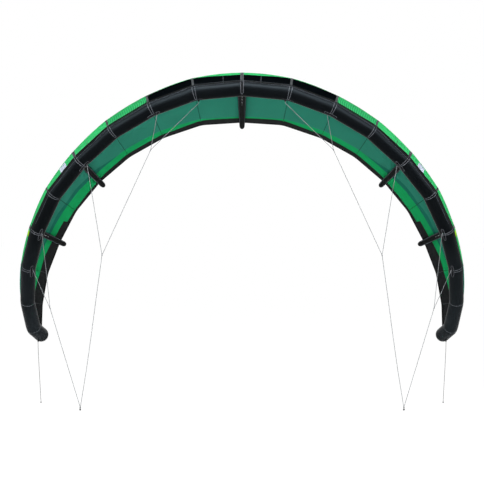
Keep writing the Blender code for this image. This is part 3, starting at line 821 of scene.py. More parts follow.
# Where the colours of the canopy meet: each edge is a list of (share of the half span, chord share)
TEAL_GREEN_EDGE = (
    (0.0, 0.918), (0.08, 0.914), (0.17, 0.888), (0.265, 0.868), (0.295, 0.864), (0.355, 0.855),
    (0.392, 0.850), (0.42, 0.831), (0.455, 0.808), (0.495, 0.805), (0.54, 0.777), (0.593, 0.745),
    (0.65, 0.70), (0.70, 0.66), (0.765, 0.55), (0.80, 0.30), (1.0, 0.10),
)
DARK_TEAL_EDGE = (
    (0.0, 0.99), (0.27, 0.99), (0.29, 0.885), (0.357, 0.829), (0.392, 0.784), (0.411, 0.783),
    (0.457, 0.750), (0.495, 0.755), (0.541, 0.708), (0.60, 0.70), (0.65, 0.69), (0.72, 0.55), (1.0, 0.30),
)
BLACK_EDGE = (
    (0.0, 0.935), (0.08, 0.928), (0.17, 0.942), (0.26, 0.938), (0.37, 0.940), (0.394, 0.951),
    (0.41, 0.96), (0.45, 0.95), (0.49, 0.96), (0.5405, 0.94), (0.5415, 0.877), (0.554, 0.874),
    (0.596, 0.856), (0.617, 0.829), (0.659, 0.796), (0.704, 0.80), (0.765, 0.73), (0.80, 0.45), (0.86, 0.0),
    (1.0, 0.0),
)
NOSE_BLACK_EDGE = ((0.0, 0.085), (0.04, 0.090), (0.10, 0.125), (0.199, 0.140), (0.201, 0.0), (1.0, 0.0))
NOSE_GREEN_EDGE = ((0.0, 0.33), (0.3, 0.36), (0.6, 0.42), (0.66, 0.30), (0.70, 0.0), (1.0, 0.0))

TEAL = linear(46, 124, 104)
DARK_TEAL = linear(32, 106, 90)
GREEN = linear(27, 154, 89)
BRIGHT_GREEN = linear(54, 173, 100)
HATCH_GREEN = linear(30, 112, 68)
BLACK = linear(38, 39, 40)
DEEP_BLACK = linear(4, 6, 8)
PALE = linear(180, 190, 206)
LIME = linear(150, 205, 40)
# Patches: from which to which share of the half span, and how far along the chord
HATCH_PATCH = (0.2, 0.3, 0.3)
PALE_PATCH = (0.428, 0.449, 0.11)
LIME_PATCH = (0.608, 0.622, 0.11)
CLOTH_SPAN = 5.6
HATCH_COUNT = 200.0
HATCH_SLANT = 20.0
HATCH_FILL = 0.45
PRINT_PITCH = 0.006
PRINT_UNEVENNESS = 0.5
PRINT_DEPTH = 0.0008
EDGE_SOFTNESS = 0.0025
DARK_TEAL_SOFTNESS = 0.004
DYE_SHARE = 0.25

# Each finish's key and name, and its darker and lighter screen colours. Then its roughness, the pitch
# and depth of its threads, and its gloss
CLOTHS = (
    ("strut", "strut_dacron", (9, 10, 10), (17, 19, 19), 0.5, 0.005, 0.0005, 0.012),
    ("band", "reinforcement_cloth", (14, 15, 17), (24, 25, 28), 0.75, 0.003, 0.0006),
    ("hem", "hem_tape", (14, 14, 15), (24, 24, 25), 0.75, 0.004, 0.0004),
    ("webbing", "tab_webbing", (28, 29, 30), (52, 54, 56), 0.8, 0.0025, 0.0008),
    ("strap", "seam_strap", (46, 49, 51), (63, 67, 69), 0.7, 0.003, 0.0005),
)

# The colours of cloth and thread, the length of a stitch, and the share of it that the thread fills
STITCHINGS = (
    ("stitch", "grey_stitching", (38, 40, 43), (100, 104, 110), 0.007, 0.8),
    ("joint_stitch", "joint_stitching", (24, 27, 31), (70, 76, 83), 0.007, 0.8),
    ("outline", "outline_stitching", (56, 58, 62), (104, 107, 112), 0.005, 0.7),
    ("dots", "dotted_stitching", (18, 19, 20), (150, 152, 155), STRUT_DASH_PITCH, 0.62),
    # Lighter than the strut's thread alone: partly stitching, partly a painted highlight along the strut's
    # sides
    ("piping", "strut_seam_thread_and_sheen", (60, 66, 71), (84, 91, 97), 0.005, 0.8),
    ("seam", "canopy_seam_tape", (22, 76, 62), (14, 52, 44), 0.005, 0.6),
    ("green_seam", "green_seam_tape", (20, 118, 66), (12, 82, 46), 0.005, 0.6),
    ("dark_seam", "black_seam_tape", (40, 41, 43), (70, 72, 75), 0.005, 0.6),
    ("bridle", "bridle_braid", (96, 99, 102), (124, 127, 130), 0.0022, 0.7),
    ("pigtail", "pigtail_braid", (24, 24, 26), (58, 58, 62), 0.0024, 0.7),
)

# Two colours, roughness and gloss, and the scale, detail and depth of the grain
MOULDINGS = (
    ("plastic", "moulded_plastic", (22, 23, 24), (46, 47, 49), 0.42, 0.1, 420.0, 2.0, 0.0001),
    ("rubber", "hose_silicone", (196, 200, 202), (218, 222, 223), 0.38, 0.15, 60.0, 3.0, 0.0002),
    ("film", "bladder_film", (205, 212, 218), (228, 233, 238), 0.25, 0.15, 40.0, 4.0, 0.0006),
)


def canopy_finish(weave):
    """The canopy's colour blocks, placed by the UV: across the span, and back along the chord."""
    made, tree, shader = new_material("canopy_print", 0.6, gloss=0.0)
    place = node(tree, "ShaderNodeUVMap").outputs[0]
    across, chord, _ = node(tree, "ShaderNodeSeparateXYZ", {0: place}).outputs
    span = maths(tree, "ABSOLUTE", maths(tree, "MULTIPLY_ADD", across, 2.0, -1.0))

    def past(points, softness=EDGE_SOFTNESS):
        over = maths(tree, "SUBTRACT", chord, edge_curve(tree, span, points))
        return maths(tree, "MULTIPLY_ADD", over, 0.5 / softness, 0.5, clamp=True)

    def before(points):
        return maths(tree, "SUBTRACT", 1.0, past(points))

    def patch(low, high, reach):
        above, below = maths(tree, "GREATER_THAN", span, low), maths(tree, "LESS_THAN", span, high)
        inside = maths(tree, "MULTIPLY", above, below)
        return maths(tree, "MULTIPLY", inside, maths(tree, "LESS_THAN", chord, reach))

    flat = {0: maths(tree, "MULTIPLY", across, CLOTH_SPAN), 1: maths(tree, "MULTIPLY", chord, ROOT_CHORD)}
    metres = node(tree, "ShaderNodeCombineXYZ", flat).outputs[0]
    given = {"Place": metres, "Pitch": PRINT_PITCH, "Unevenness": PRINT_UNEVENNESS}
    woven = node(tree, "ShaderNodeGroup", given, node_tree=weave).outputs
    lines = maths(tree, "MULTIPLY_ADD", span, HATCH_COUNT, maths(tree, "MULTIPLY", chord, HATCH_SLANT))
    hatch = maths(tree, "LESS_THAN", maths(tree, "FRACT", lines), HATCH_FILL)

    colour = TEAL
    for share, cover in (
        (past(DARK_TEAL_EDGE, DARK_TEAL_SOFTNESS), DARK_TEAL),
        (before(NOSE_GREEN_EDGE), BRIGHT_GREEN),
        (maths(tree, "MULTIPLY", hatch, patch(*HATCH_PATCH)), HATCH_GREEN),
        (patch(*PALE_PATCH), PALE),
        (patch(*LIME_PATCH), LIME),
        (before(NOSE_BLACK_EDGE), DEEP_BLACK),
        (past(TEAL_GREEN_EDGE), GREEN),
        (past(BLACK_EDGE), BLACK),
        (maths(tree, "MULTIPLY", woven["Dye"], DYE_SHARE), DEEP_BLACK),
    ):
        colour = mixed(tree, share, colour, cover)
    tree.links.new(colour, shader.inputs["Base Color"])
    bump(tree, shader, woven["Height"], PRINT_DEPTH, 0.6)
    return made


def make_finishes():
    weave, stitches = weave_group(), stitch_group()
    # The tube's last two colours are painted sheen, lighter towards its tips where they mirror light
    tube = cloth_finish(
        weave, "leading_edge_dacron", (4, 5, 6), (9, 11, 13), 0.28, 0.005, 0.0005, 0.03,
        ((17, 20, 22), (28, 32, 35)), Specular_Tint=(0.66, 0.86, 1.0, 1.0),
    )
    made = {"canopy": canopy_finish(weave), "tube": tube}
    made.update((key, cloth_finish(weave, *values)) for key, *values in CLOTHS)
    made.update((key, stitched_finish(stitches, *values)) for key, *values in STITCHINGS)
    made.update((key, moulded_finish(*values)) for key, *values in MOULDINGS)
    return made


# Light, floor and camera

WORLD_LEVEL = 0.5
# The soft lamps light the cloth, and the sheens are only mirrored in it. What stands to the right is
# repeated on the left
LAMPS = (
    ("key", (0.0, -6.0, 6.4), (0.0, 0.2, -0.4), (7.0, 3.0), 1150.0, True, False),
    ("fill", (0.0, -9.0, -2.0), (0.0, 0.4, -0.9), (8.0, 2.5), 300.0, True, False),
    ("rim", (8.0, 0.4, 0.5), (1.9, 0.3, -1.2), (2.5, 5.0), 160.0, True, True),
    ("top_sheen", (0.0, -5.0, 7.2), (0.0, 0.2, -0.3), (7.0, 6.0), 4300.0, False, True),
    ("side_sheen", (5.2, -6.0, 4.0), (0.9, 0.2, -0.4), (5.0, 9.0), 3000.0, False, True),
    ("far_sheen", (8.9, -3.7, 0.6), (1.6, 0.4, -0.9), (5.0, 4.0), 800.0, False, True),
)


def make_studio():
    scene = bpy.context.scene
    scene.view_settings.view_transform = "Standard"
    world = bpy.data.worlds.new("studio")
    world.use_nodes = True
    scene.world = world
    tree = world.node_tree
    back = tree.nodes["Background"]
    back.inputs["Color"].default_value = (1.0, 1.0, 1.0, 1.0)
    path = node(tree, "ShaderNodeLightPath").outputs
    seen = maths(tree, "MAXIMUM", path["Is Camera Ray"], path["Is Transmission Ray"])
    seen = maths(tree, "MAXIMUM", seen, path["Is Glossy Ray"])
    level = maths(tree, "MULTIPLY_ADD", seen, 1.0 - WORLD_LEVEL, WORLD_LEVEL)
    tree.links.new(level, back.inputs["Strength"])

    for name, place, aim, size, power, lights, mirrored in LAMPS:
        for side in (-1, 1) if place[0] else (1,):
            data = bpy.data.lights.new(name, "AREA")
            data.shape = "RECTANGLE"
            data.size, data.size_y = size
            data.energy = power
            lamp = bpy.data.objects.new(name, data)
            lamp.visible_diffuse, lamp.visible_glossy = lights, mirrored
            lamp.location = mirror(place, side)
            way = mirror(aim, side) - mirror(place, side)
            lamp.rotation_euler = way.to_track_quat("-Z", "Y").to_euler()
            scene.collection.objects.link(lamp)

    data = bpy.data.cameras.new("camera")
    data.sensor_width = SENSOR_MILLIMETRES
    data.lens = SENSOR_MILLIMETRES * -CAMERA_PLACE[1] / PHOTO_WIDTH_AT_ORIGIN
    camera = bpy.data.objects.new("camera", data)
    camera.location = CAMERA_PLACE
    camera.rotation_euler = (pi / 2, 0.0, 0.0)
    scene.collection.objects.link(camera)
    scene.camera = camera


def make_floor():
    """A pale floor that shows to the camera as an even white."""
    shape = bmesh.new()
    lines = spread(-FLOOR_REACH, FLOOR_REACH, 12)
    add_skin(shape, [[Vector((x, y, FLOOR_HEIGHT)) for x in lines] for y in lines], wraps=False)
    mesh = bpy.data.meshes.new("floor")
    shape.to_mesh(mesh)
    shape.free()
    ground = bpy.data.objects.new("floor", mesh)
    bpy.context.scene.collection.objects.link(ground)
    made, tree, shader = new_material("pale_floor", 0.9, (0.9, 0.9, 0.9, 1.0))
    glow = node(tree, "ShaderNodeEmission", {"Strength": FLOOR_GLOW})
    seen = node(tree, "ShaderNodeLightPath").outputs["Is Camera Ray"]
    both = node(tree, "ShaderNodeMixShader", {0: maths(tree, "MULTIPLY", seen, FLOOR_GLOW_SHARE)})
    tree.links.new(shader.outputs[0], both.inputs[1])
    tree.links.new(glow.outputs[0], both.inputs[2])
    tree.links.new(both.outputs[0], tree.nodes["Material Output"].inputs["Surface"])
    mesh.materials.append(made)


# Cloth


def wing_places(steps):
    return [round(place, 5) for place in spread(-TIP, TIP, 2 * TIP * steps)]


def panels_of(name):
    return [f"{name}_{part}_{side}" for part in ("inner", "middle", "tip") for side in ("left", "right")]


def make_canopy():
    places = wing_places(22)
    shares = [CREST_SHARE * (step / 18) ** 1.3 for step in range(18)]
    shares += spread(CREST_SHARE, 1.0, 44)
    shape = bmesh.new()
    rings = [[canopy_point(place, share, CLOTH_LIFT) for share in shares] for place in places]
    add_skin(shape, rings, lambda row, column: (0.5 + places[row] / (2 * TIP), shares[column]), wraps=False)
    area = sum(face.calc_area() for face in shape.faces)
    panels = panels_of("canopy")
    sheet = make_piece("canopy_sheet", shape, "canopy", stands_for=panels)
    wall = sheet.modifiers.new("cloth", "SOLIDIFY")
    wall.thickness = CLOTH_THICKNESS
    wall.offset = 0.0
    return sheet, area


def canopy_strip(shape, route, width, height, under=False, slot=0):
    """A tape on the canopy, over it or under it, along (rib count, chord share) places."""
    side = -1 if under else 1
    rest = CLOTH_LIFT + side * CLOTH_THICKNESS / 2
    places = [canopy_point(place, share, rest) for place, share in route]
    outer = [canopy_point(place, share, rest + side * TAPE_HEIGHT) for place, share in route]
    ups = [(second - first).normalized() for first, second in zip(places, outer)]
    add_strip(shape, places, ups, width, height, slot=slot)


def make_canopy_seams():
    """Tapes over the ribs' seams, on both faces, coloured as the panels beside them."""
    shape = bmesh.new()

    def tape(place, low, high, count, width, slot, height=TAPE_HEIGHT, under=False):
        route = [(place, share) for share in spread(low, high, count)]
        canopy_strip(shape, route, width, height, under, slot)

    for number in range(1 - TIP, TIP):
        size = abs(number)
        green, black = GREEN_SEAM_SHARES[size], BLACK_SEAM_SHARES[size]
        strut = number in STRUT_RIBS
        if size < 7 and not strut:
            tape(number, UNDER_SEAM_START_SHARE, green, 24, TAPE_WIDTH, 0, under=True)
        if size < 8 and not strut:
            tape(number, green, black, 5, TAPE_WIDTH, 1, under=True)
        if size > 6:
            tape(number, black, SEAM_END_SHARE, 10, TAPE_WIDTH, 2, under=True)
        if strut:
            width = STRAP_WIDTHS[size]
            tape(number, SEAM_START_SHARE, SEAM_END_SHARE, 48, width, 3)
            for off in (-1, 1):
                near = beside(number, off * STRAP_LINE_SHARE * width)
                tape(near, SEAM_START_SHARE, SEAM_END_SHARE, 48, SEAM_LINE_WIDTH, 4, 2 * TAPE_HEIGHT)
        else:
            tape(number, SEAM_START_SHARE, SHORT_STRAP_END_SHARE, 16, SHORT_STRAP_WIDTH, 3)
            tape(number, SHORT_STRAP_END_SHARE, SEAM_END_SHARE, 40, TAPE_WIDTH, 0 if size < 7 else 2)
    for place in SHORT_SEAMS:
        for side in (-1, 1):
            tape(side * place, SEAM_START_SHARE, NOSE_SEAM_SHARE, 8, SHORT_SEAM_WIDTH, 4)
    make_piece(
        "canopy_seam_tapes", shape, ("seam", "green_seam", "dark_seam", "strap", "stitch")
    )


def make_hem():
    """The folded hem round the trailing edge."""
    shape = bmesh.new()
    places = wing_places(16)
    rings = []
    for place in places:
        edge, inner = canopy_point(place, 1.0), canopy_point(place, 0.99)
        back = (edge - inner).normalized()
        up = section(place).out
        up = (up - up.dot(back) * back).normalized()
        centre = edge + CLOTH_LIFT * up
        rings.append([centre + along * back + rise * up for along, rise in HEM_PROFILE])
    runs = [HEM_HALF_LENGTH * place / TIP for place in places]
    add_skin(shape, rings, lambda row, column: (runs[row], column * 0.01), caps=True)
    make_piece("trailing_edge_hem", shape, "hem")


# How far round each ring of a round end stands
CAP_LEANS = [radians(88) * step / 8 for step in range(1, 9)]


def tube_rings(places, turns, inset=0.0):
    """Rings of the leading edge from tip to tip, with round tips. Their count is the same at each."""
    caps = []
    for end in (-TIP, TIP):
        cut = section(end)
        radius = cut.radius - inset
        out = copysign(1, end) * cut.along * radius
        caps.append([
            ring(cut.centre + out * sin(lean), cut.back, cut.out, radius * cos(lean), turns)
            for lean in CAP_LEANS
        ])
    body = [[tube_point(place, turn, -inset) for turn in turns] for place in places]
    return caps[0][::-1] + body + caps[1]


def make_leading_edge():
    sides, few = 56, 24
    rings = tube_rings(wing_places(20), circle(sides))
    runs = run_lengths([first for first, *_ in rings])
    half, girth = runs[-1] / 2, 2 * pi * TUBE_RADIUS
    shape = bmesh.new()
    add_skin(shape, rings, lambda row, column: (runs[row] - half, girth * column / sides), caps=True)
    panels = panels_of("leading_edge")
    make_piece("leading_edge_cover", shape, "tube", stands_for=panels)
    shape = bmesh.new()
    rings = tube_rings(wing_places(5), circle(few), BLADDER_INSET)
    add_skin(shape, rings, lambda row, column: (row * 0.05, column / few), caps=True)
    make_piece("tube_bladder_skin", shape, "film", stands_for=["leading_edge_bladder"])


def tube_strip(shape, route, width=STITCH_WIDTH, height=TAPE_HEIGHT, loop=False, slot=0):
    """A tape on the leading edge along (rib count, turn) places."""
    places = [tube_point(place, turn) for place, turn in route]
    ups = [(place - section(spot).centre).normalized() for place, (spot, _) in zip(places, route)]
    add_strip(shape, places, ups, width, height, loop=loop, slot=slot)


def pair_half_width(number, share):
    """Half the way between a seam's two lines, from their top (0) to where they meet (1). They draw
    apart and then close slowly, and those in the middle close only at their end."""
    most = PAIR_HALF_WIDTHS.get(abs(number), PAIR_HALF_WIDTH)
    if number == 0:
        return most * (1 - 0.85 * max(0.0, (share - 0.85) / 0.15))
    return most * min(1.0, (0.7 if number in STRUT_RIBS else 0.5) + 2.5 * share) * (1 - 0.3 * share)


def make_leading_edge_seams():
    """The pairs of stitched lines that wrap each seam, and the bands that hold the struts."""
    lines, bands = bmesh.new(), bmesh.new()
    for number in range(1 - TIP, TIP):
        size, cut, strut = abs(number), section(number), number in STRUT_RIBS
        if size > 7:
            tube_strip(lines, [(number, radians(turn)) for turn in SINGLE_SEAM_DEGREES])
            continue
        start = cut.seam - radians(2) if size > 6 else radians(PAIR_TOP_DEGREES)
        end = radians(PAIR_END_DEGREES)
        turns = spread(start, end, 30)
        rows = [(pair_half_width(number, (turn - start) / (end - start)), turn) for turn in turns]
        route = [(beside(number, -half), turn) for half, turn in rows]
        if number:
            half = rows[-1][0]
            route += [
                (beside(number, -half * cos(lean)), end + half * sin(lean) / cut.radius)
                for lean in spread(0.0, pi, 8)[1:-1]
            ]
        route += [(beside(number, half), turn) for half, turn in reversed(rows)]
        tube_strip(lines, route, height=(3 if strut else 1) * TAPE_HEIGHT)
        if strut:
            rings = [
                [
                    tube_point(beside(number, (half + BAND_MARGIN) * share), turn, lift)
                    for share, lift in BAND_PROFILE
                ]
                for half, turn in rows
            ]
            add_skin(bands, rings, lambda row, column: (row * 0.01, column * 0.01), wraps=False)
    make_piece("leading_edge_stitching", lines, "stitch")
    make_piece("strut_bands", bands, "band")


def make_joint_tape():
    """The tapes over the joint of canopy and tube, and the rows of stitching beside it."""
    shape = bmesh.new()
    route = [(place, section(place).seam + radians(1)) for place in wing_places(10)[4:-4]]
    tube_strip(shape, route, JOINT_TAPE_WIDTH, JOINT_TAPE_HEIGHT)
    for low, high, degrees, rise in JOINT_ROWS:
        for side in (-1, 1):
            route = [
                (side * place, section(side * place).seam + radians(degrees + rise * place))
                for place in spread(low, high, 70)
            ]
            tube_strip(shape, route, SEAM_LINE_WIDTH, 2 * TAPE_HEIGHT, slot=1)
    route = [(place, NOSE_TAPE_SHARE) for place in spread(-NOSE_TAPE_REACH, NOSE_TAPE_REACH, 300)]
    canopy_strip(shape, route, NOSE_TAPE_WIDTH, TAPE_HEIGHT / 2)
    route = [(place, JOINT_LINE_SHARE) for place in spread(-1.0, 1.0, 40)]
    canopy_strip(shape, route, SEAM_LINE_WIDTH, TAPE_HEIGHT, slot=1)
    for place in SHORT_SEAMS:
        for side in (-1, 1):
            seam = section(side * place).seam
            route = [(side * place, seam + radians(turn)) for turn in (0.5, 3, 6)]
            tube_strip(shape, route, SHORT_SEAM_WIDTH, 2 * TAPE_HEIGHT, slot=1)
    make_piece("canopy_joint_tape", shape, ("strut", "joint_stitch"))


def patch_route(number, turn, reach):
    """A rounded patch's outline on the tube, as (rib count, turn) places."""
    radius = section(number).radius
    ease = 0.2 if abs(number) < 5 else 0.55

    def eased(value, half):
        return copysign(abs(value) ** ease, value) * half * reach

    route = []
    for lean in circle(PATCH_SIDES):
        across, rise = eased(cos(lean), PATCH_HALF_LENGTH), eased(sin(lean), PATCH_HALF_WIDTH)
        route.append((beside(number, across), turn + rise / radius))
    return route


def make_patches():
    """The sewn patches under the bridle tabs, with their outlines, and the webbing tabs."""
    cloth, outline, webbing = bmesh.new(), bmesh.new(), bmesh.new()
    for number, degrees in TAB_DEGREES.items():
        for side in (-1, 1):
            turn = radians(degrees)
            if number < TIP:
                route = patch_route(side * number, turn, 0.93)
                tube_strip(outline, route, SEAM_LINE_WIDTH, 2 * TAPE_HEIGHT, loop=True)
                rings = [
                    [tube_point(*spot, lift) for spot in patch_route(side * number, turn, reach)]
                    for reach, lift in PATCH_PROFILE
                ]
                add_skin(cloth, rings, lambda row, column: (column * 0.01, row * 0.01))
                close_end(cloth, PATCH_SIDES)
            rib = tube_frame(inboard(side * number, TAB_INBOARD))
            way = around(rib, turn)
            thin = rib.along.cross(way)
            half = TAB_THICKNESS / 2 - WEBBING_MIDDLE_DEPTH
            low, reach = rib.radius - TAB_SINK, rib.radius + TAB_REACH
            loop = [(low, -half), (reach - 2 * half, -half)]
            for lean in spread(0.3, pi - 0.3, 6):
                loop.append((reach - half + half * sin(lean), -half * cos(lean)))
            loop += [(reach - 2 * half, half), (low, half)]
            places = [rib.centre + way * up + thin * off for up, off in loop]
            ups = [rib.along.cross(run).normalized() for run in ways_along(places)]
            add_strip(webbing, places, ups, TAB_WIDTH, WEBBING_BORDER, WEBBING_BORDER)
    make_piece("bridle_patches", cloth, "band")
    make_piece("patch_stitching", outline, "outline")
    make_piece("bridle_webbing_tabs", webbing, "webbing")


# Struts


def strut_start(number, turn):
    """The step at which a line along the strut leaves the leading edge's tube."""
    rib = RIBS[number]
    low, high = 0.5, 4.0
    for _ in range(24):
        middle = (low + high) / 2
        away = strut_point(number, middle, turn) - rib.centre
        away -= away.dot(rib.along) * rib.along
        if away.length > rib.radius + COVER_GAP:
            high = middle
        else:
            low = middle
    return high


def add_strut_tape(shape, number, steps, turn, width, height, slot=0):
    """A tape along a strut, at a turn round it."""
    places = [strut_point(number, step, turn) for step in steps]
    ups = [(place - strut_section(number, step)[0]).normalized() for place, step in zip(places, steps)]
    add_strip(shape, places, ups, width, height, slot=slot)


def make_strut(number):
    """A strut's casing, the piping and tape that sew it on, its stitching, and the bladder inside. The two
    side rows of stitching are drawn wide and light: partly thread, partly a painted highlight along the
    strut's sides.
    """
    name = strut_name(number)
    last, turns, few = len(STEP_SHARES) - 1, circle(36), circle(20)
    starts = [strut_start(number, turn) for turn in turns]
    rings = [
        [strut_point(number, start + (last - start) * share, turn) for start, turn in zip(starts, turns)]
        for share in spread(0.0, 1.0, 44)
    ]
    end = rings[-1]
    centre = strut_section(number, last)[0]
    run = (centre - strut_section(number, last - 0.3)[0]).normalized()
    for step, lean in enumerate(CAP_LEANS, 1):
        shift = run * (STRUT_TAIL * min(1.0, step / 3) + STRUT_REAR_RADIUS * sin(lean))
        rings.append([centre + shift + (point - centre) * cos(lean) for point in end])
    runs = run_lengths([first for first, *_ in rings])
    shape = bmesh.new()
    add_skin(shape, rings, lambda row, column: (runs[row], 0.2 * column / len(turns)))
    close_end(shape, len(turns))
    cover = make_piece(f"strut_cover_{name}", shape, "strut", stands_for=[f"strut_{name}"])
    wall = cover.modifiers.new("cloth", "SOLIDIFY")
    wall.thickness = STRUT_WALL
    wall.offset = -1.0

    shape = bmesh.new()
    add_tube(shape, rings[0] + rings[0][:1], PIPING_RADIUS, 8)
    steps = spread(max(starts) + 0.1, last, 40)
    add_strut_tape(shape, number, steps, pi / 2, STRUT_TAPE_WIDTH, STRUT_GAP + STRIP_SINK)
    make_piece(f"strut_piping_{name}", shape, "tube")

    shape = bmesh.new()
    if abs(number) in STRUT_DASH_STEPS:
        steps = spread(*STRUT_DASH_STEPS[abs(number)], 30)
        add_strut_tape(shape, number, steps, -pi / 2, STRUT_DASH_WIDTH, TAPE_HEIGHT)
    # The side rows are partly stitching and partly a painted highlight along the strut's sides, wide on the
    # outer struts
    width = STRUT_SEAM_SHEEN_WIDTH if number else CENTRE_STRUT_SEAM_WIDTH
    steps = spread(starts[3 * len(turns) // 4] + 0.3, last, 60)
    for turn in (-STRUT_SEAM_LEAN, pi + STRUT_SEAM_LEAN):
        add_strut_tape(shape, number, steps, turn, width, TAPE_HEIGHT, 1)
    make_piece(f"strut_stitching_{name}", shape, ("dots", "piping"))

    shape = bmesh.new()
    rings = [
        [strut_point(number, step, turn, STRUT_BLADDER_INSET) for turn in few]
        for step in spread(STRUT_BLADDER_START, last, 24)
    ]
    add_skin(shape, rings, lambda row, column: (row * 0.05, column / len(few)), caps=True)
    make_piece(f"strut_film_{name}", shape, "film", stands_for=[f"strut_bladder_{name}"])


def make_hose(number):
    """The hose that fills a strut, drawn in slightly under its clip, with a collar at each end."""
    tube = tube_frame(inboard(number, HOSE_INBOARD))
    tube_way = around(tube, radians(HOSE_DEGREES))
    tube_end = tube.centre + tube.radius * tube_way
    strut_end = strut_point(number, HOSE_STRUT_STEP, pi if number > 0 else 0.0)
    strut_way = (strut_end - strut_section(number, HOSE_STRUT_STEP)[0]).normalized()
    first, second = tube_end + HOSE_TUBE_HANDLE * tube_way, strut_end + HOSE_STRUT_HANDLE * strut_way
    path, radii = [tube_end - HOSE_STUB * tube_way], [HOSE_RADIUS]
    for share in spread(0.0, 1.0, 36):
        rest = 1 - share
        near, far = rest * tube_end + 3 * share * first, 3 * rest * second + share * strut_end
        path.append(rest**2 * near + share**2 * far)
        radii.append(HOSE_RADIUS - 0.0002 - PINCH_DEPTH * exp(-(((share - 0.5) / 0.09) ** 2)))
    path.append(strut_end - HOSE_STUB * strut_way)
    radii.append(HOSE_RADIUS)
    name = strut_name(number)
    shape = bmesh.new()
    add_tube(shape, path, radii, 20)
    make_piece(f"hose_tube_{name}", shape, "rubber", stands_for=[f"strut_hose_{name}"])
    shape = bmesh.new()
    for place, way in ((tube_end, tube_way), (strut_end, strut_way)):
        add_turned(shape, COLLAR_PROFILE, place, way, 32, loop=True)
    make_piece(f"hose_collars_{name}", shape, "plastic", sharp=40)


def make_valve(name, place, bore):
    """A flanged valve and its plug cap, which swings with its strap."""
    rib = tube_frame(place)
    way = around(rib, radians(VALVE_DEGREES))
    spot = rib.centre + rib.radius * cos(pi / 20) * way
    neck = bore + VALVE_WALL
    flange = neck + VALVE_FLANGE
    top = SEAT_GAP + VALVE_FLANGE_THICKNESS
    base = (
        (bore, -VALVE_DEPTH), (neck, -VALVE_DEPTH), (neck, SEAT_GAP), (flange - 0.001, SEAT_GAP),
        (flange, SEAT_GAP + 0.0008), (flange - 0.0006, top - 0.0008), (flange - 0.002, top),
        (neck + 0.003, top), (neck + 0.0024, top - 0.0006), (neck + 0.0016, top), (bore + 0.0006, top),
        (bore, top - 0.0006),
    )
    seat, lid = bmesh.new(), bmesh.new()
    add_turned(seat, base, spot, way, 56, loop=True)
    make_piece(f"valve_seat_{name}", seat, "plastic", stands_for=[f"{name}_valve"], sharp=40)
    low = top + SEAT_GAP
    rim = flange - 0.004
    high = low + CAP_THICKNESS
    plug = bore - 0.001
    cap = (
        (plug - 0.002, low - 0.003), (plug, low - 0.0024), (plug, low), (rim - 0.0006, low),
        (rim, low + 0.0006), (rim, high - 0.0012), (rim - 0.0012, high), (rim * 0.72, high),
        (rim * 0.70, high - 0.0010), (rim * 0.30, high - 0.0010), (rim * 0.28, high),
    )
    add_turned(lid, cap, spot, way, 56)
    across = way.cross(rib.along).normalized()
    for height, start, end, width, rise, sink in (
        (low + CAP_THICKNESS / 2, rim - 0.006, flange, 0.010, 0.001, 0.001),
        (high - 0.001, -rim * 0.24, rim * 0.24, 0.005, 0.0011, STRIP_SINK),
    ):
        places = [spot + way * height + across * reach for reach in spread(start, end, 6)]
        add_strip(lid, places, [way] * len(places), width, rise, sink)
    make_piece(f"valve_lid_{name}", lid, "plastic", f"{name}_cap", [f"{name}_valve_cap"], 40)


# Lines and knots


def line_places(route):
    """A smooth curve through a route's places."""
    places = []
    for index, (first, second) in enumerate(zip(route, route[1:])):
        before = route[index - 1] if index else first * 2 - second
        after = route[index + 2] if index + 2 < len(route) else second * 2 - first
        run, length = (second - first).normalized(), (second - first).length
        leave = ((first - before).normalized() + run).normalized() * length
        arrive = (run + (after - second).normalized()).normalized() * length
        places += [hermite(first, leave, second, arrive, step / LINE_STEPS) for step in range(LINE_STEPS)]
    return places + [route[-1]]


def make_cord(name, node_name, route, radius, finish, body):
    """A line drawn taut, as one smooth curve along its route."""
    places = line_places(route)
    curve = bpy.data.curves.new(name, "CURVE")
    curve.dimensions = "3D"
    curve.bevel_depth = radius
    curve.bevel_resolution = 3
    curve.use_fill_caps = True
    spline = curve.splines.new("POLY")
    spline.points.add(len(places) - 1)
    for point, place in zip(spline.points, places):
        point.co = (*place, 1.0)
    curve.materials.append(FINISHES[finish])
    made = place_piece(bpy.data.objects.new(name, curve), body, [node_name])


def add_coil(shape, place, axis, coil, sides):
    """Turns of a line round an axis, centred on a place."""
    radius, length, turns, line_radius = coil
    axis, side, other = axes_of(axis)
    path = []
    for share in spread(0.0, 1.0, int(turns * 14)):
        path += ring(place + axis * length * (share - 0.5), side, other, radius, [2 * pi * turns * share])
    add_tube(shape, path, line_radius, sides)


def make_join(name, place, axis):
    """A whipped join of two lines: close turns over a core."""
    shape = bmesh.new()
    add_coil(shape, place, axis, JOIN_COIL, 8)
    add_turned(shape, JOIN_CORE, place, axis, 16)
    return make_piece(name, shape, "bridle")


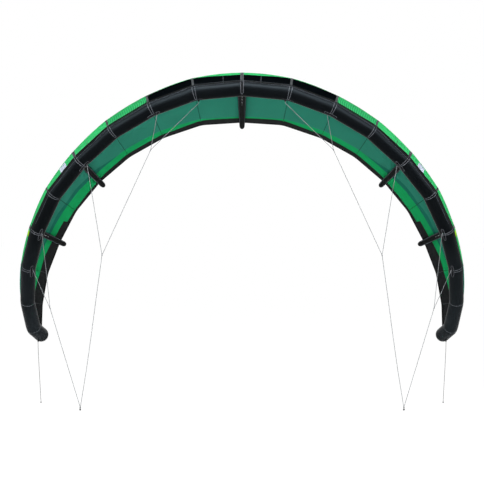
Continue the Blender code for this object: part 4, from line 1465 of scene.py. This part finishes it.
def make_pigtail(side):
    """The stopper that a front line loops onto: a hitch round the bridle's end, and a double knot."""
    name = f"front_pigtail_{side_name(side)}"
    place = mirror(PIGTAIL_PLACE, side)
    shape = bmesh.new()
    eye = [
        place + Vector((EYE_HALF_WIDTH * cos(lean), 0.0, EYE_HALF_HEIGHT * sin(lean) - EYE_DROP))
        for lean in spread(0.0, 2 * pi, 28)
    ]
    add_tube(shape, eye, EYE_LINE_RADIUS, 10)
    leans = [radians(lean) for lean in range(10, 150, 10)]
    hitch = [(HITCH_RADIUS * sin(lean), HITCH_RADIUS * cos(lean)) for lean in leans]
    add_turned(shape, (*hitch, *PIGTAIL_CORE), place, UP, 20)
    add_coil(shape, place - PIGTAIL_KNOT_DROP * UP, UP, PIGTAIL_COIL, 10)
    return make_piece(f"pigtail_knot_{side_name(side)}", shape, "pigtail", name, [name])


def make_bridle(side):
    """All lines of one side, with their joins and knots. The joins come first."""
    where = side_name(side)
    pigtail = make_pigtail(side)
    joins = {
        name: make_join(f"bridle_join_{name}_{where}", mirror(place, side), mirror(axis, side))
        for name, place, axis in JOINS
    }
    for name, line, knots in (
        ("inner", INNER_LINE, [joins["middle"]]),
        ("second", SECOND_LINE, [joins["inner"]]),
        ("third", THIRD_LINE, []),
        ("fourth", FOURTH_LINE, [joins["outer"]]),
        ("outer", OUTER_LINE, [pigtail]),
    ):
        route = [mirror(place, side) for place in line]
        node_name = f"bridle_{name}_{where}"
        cord_name = f"bridle_cord_{name}_{where}"
        make_cord(cord_name, node_name, route, BRIDLE_RADIUS, "bridle", "kite")

    body = f"rear_leader_{where}"
    route = [mirror(place, side) for place in REAR_LEADER]
    place = route[-1] - LEADER_KNOT_DROP * UP
    shape = bmesh.new()
    add_turned(shape, LEADER_KNOT_CORE, place, UP, 16)
    add_coil(shape, place, UP, LEADER_COIL, 8)
    stands_for = [f"rear_leader_knot_{where}"]
    knot = make_piece(f"leader_stopper_{where}", shape, "pigtail", body, stands_for)
    make_cord(f"leader_cord_{where}", body, route, LEADER_RADIUS, "pigtail", body)


def dress_clips():
    """The clips keep their CAD shape, with their edges rounded."""
    for number in STRUT_RIBS:
        name = strut_name(number)
        for node_name in (f"hose_clip_{name}", f"hose_clip_jaw_{name}"):
            clip = frame["nodes"][node_name]
            clip.data.materials.clear()
            clip.data.materials.append(FINISHES["plastic"])
            edge = clip.modifiers.new("edges", "BEVEL")
            edge.width = CLIP_EDGE
            edge.segments = 2


make_studio()
make_floor()
FINISHES = make_finishes()
for side in (-1, 1):
    make_bridle(side)
sheet, cloth_area = make_canopy()
make_canopy_seams()
make_hem()
make_leading_edge()
make_leading_edge_seams()
make_joint_tape()
make_patches()
for number in STRUT_RIBS:
    make_strut(number)
    make_hose(number)
for name, place, bore in VALVES:
    make_valve(name, place, bore)
dress_clips()
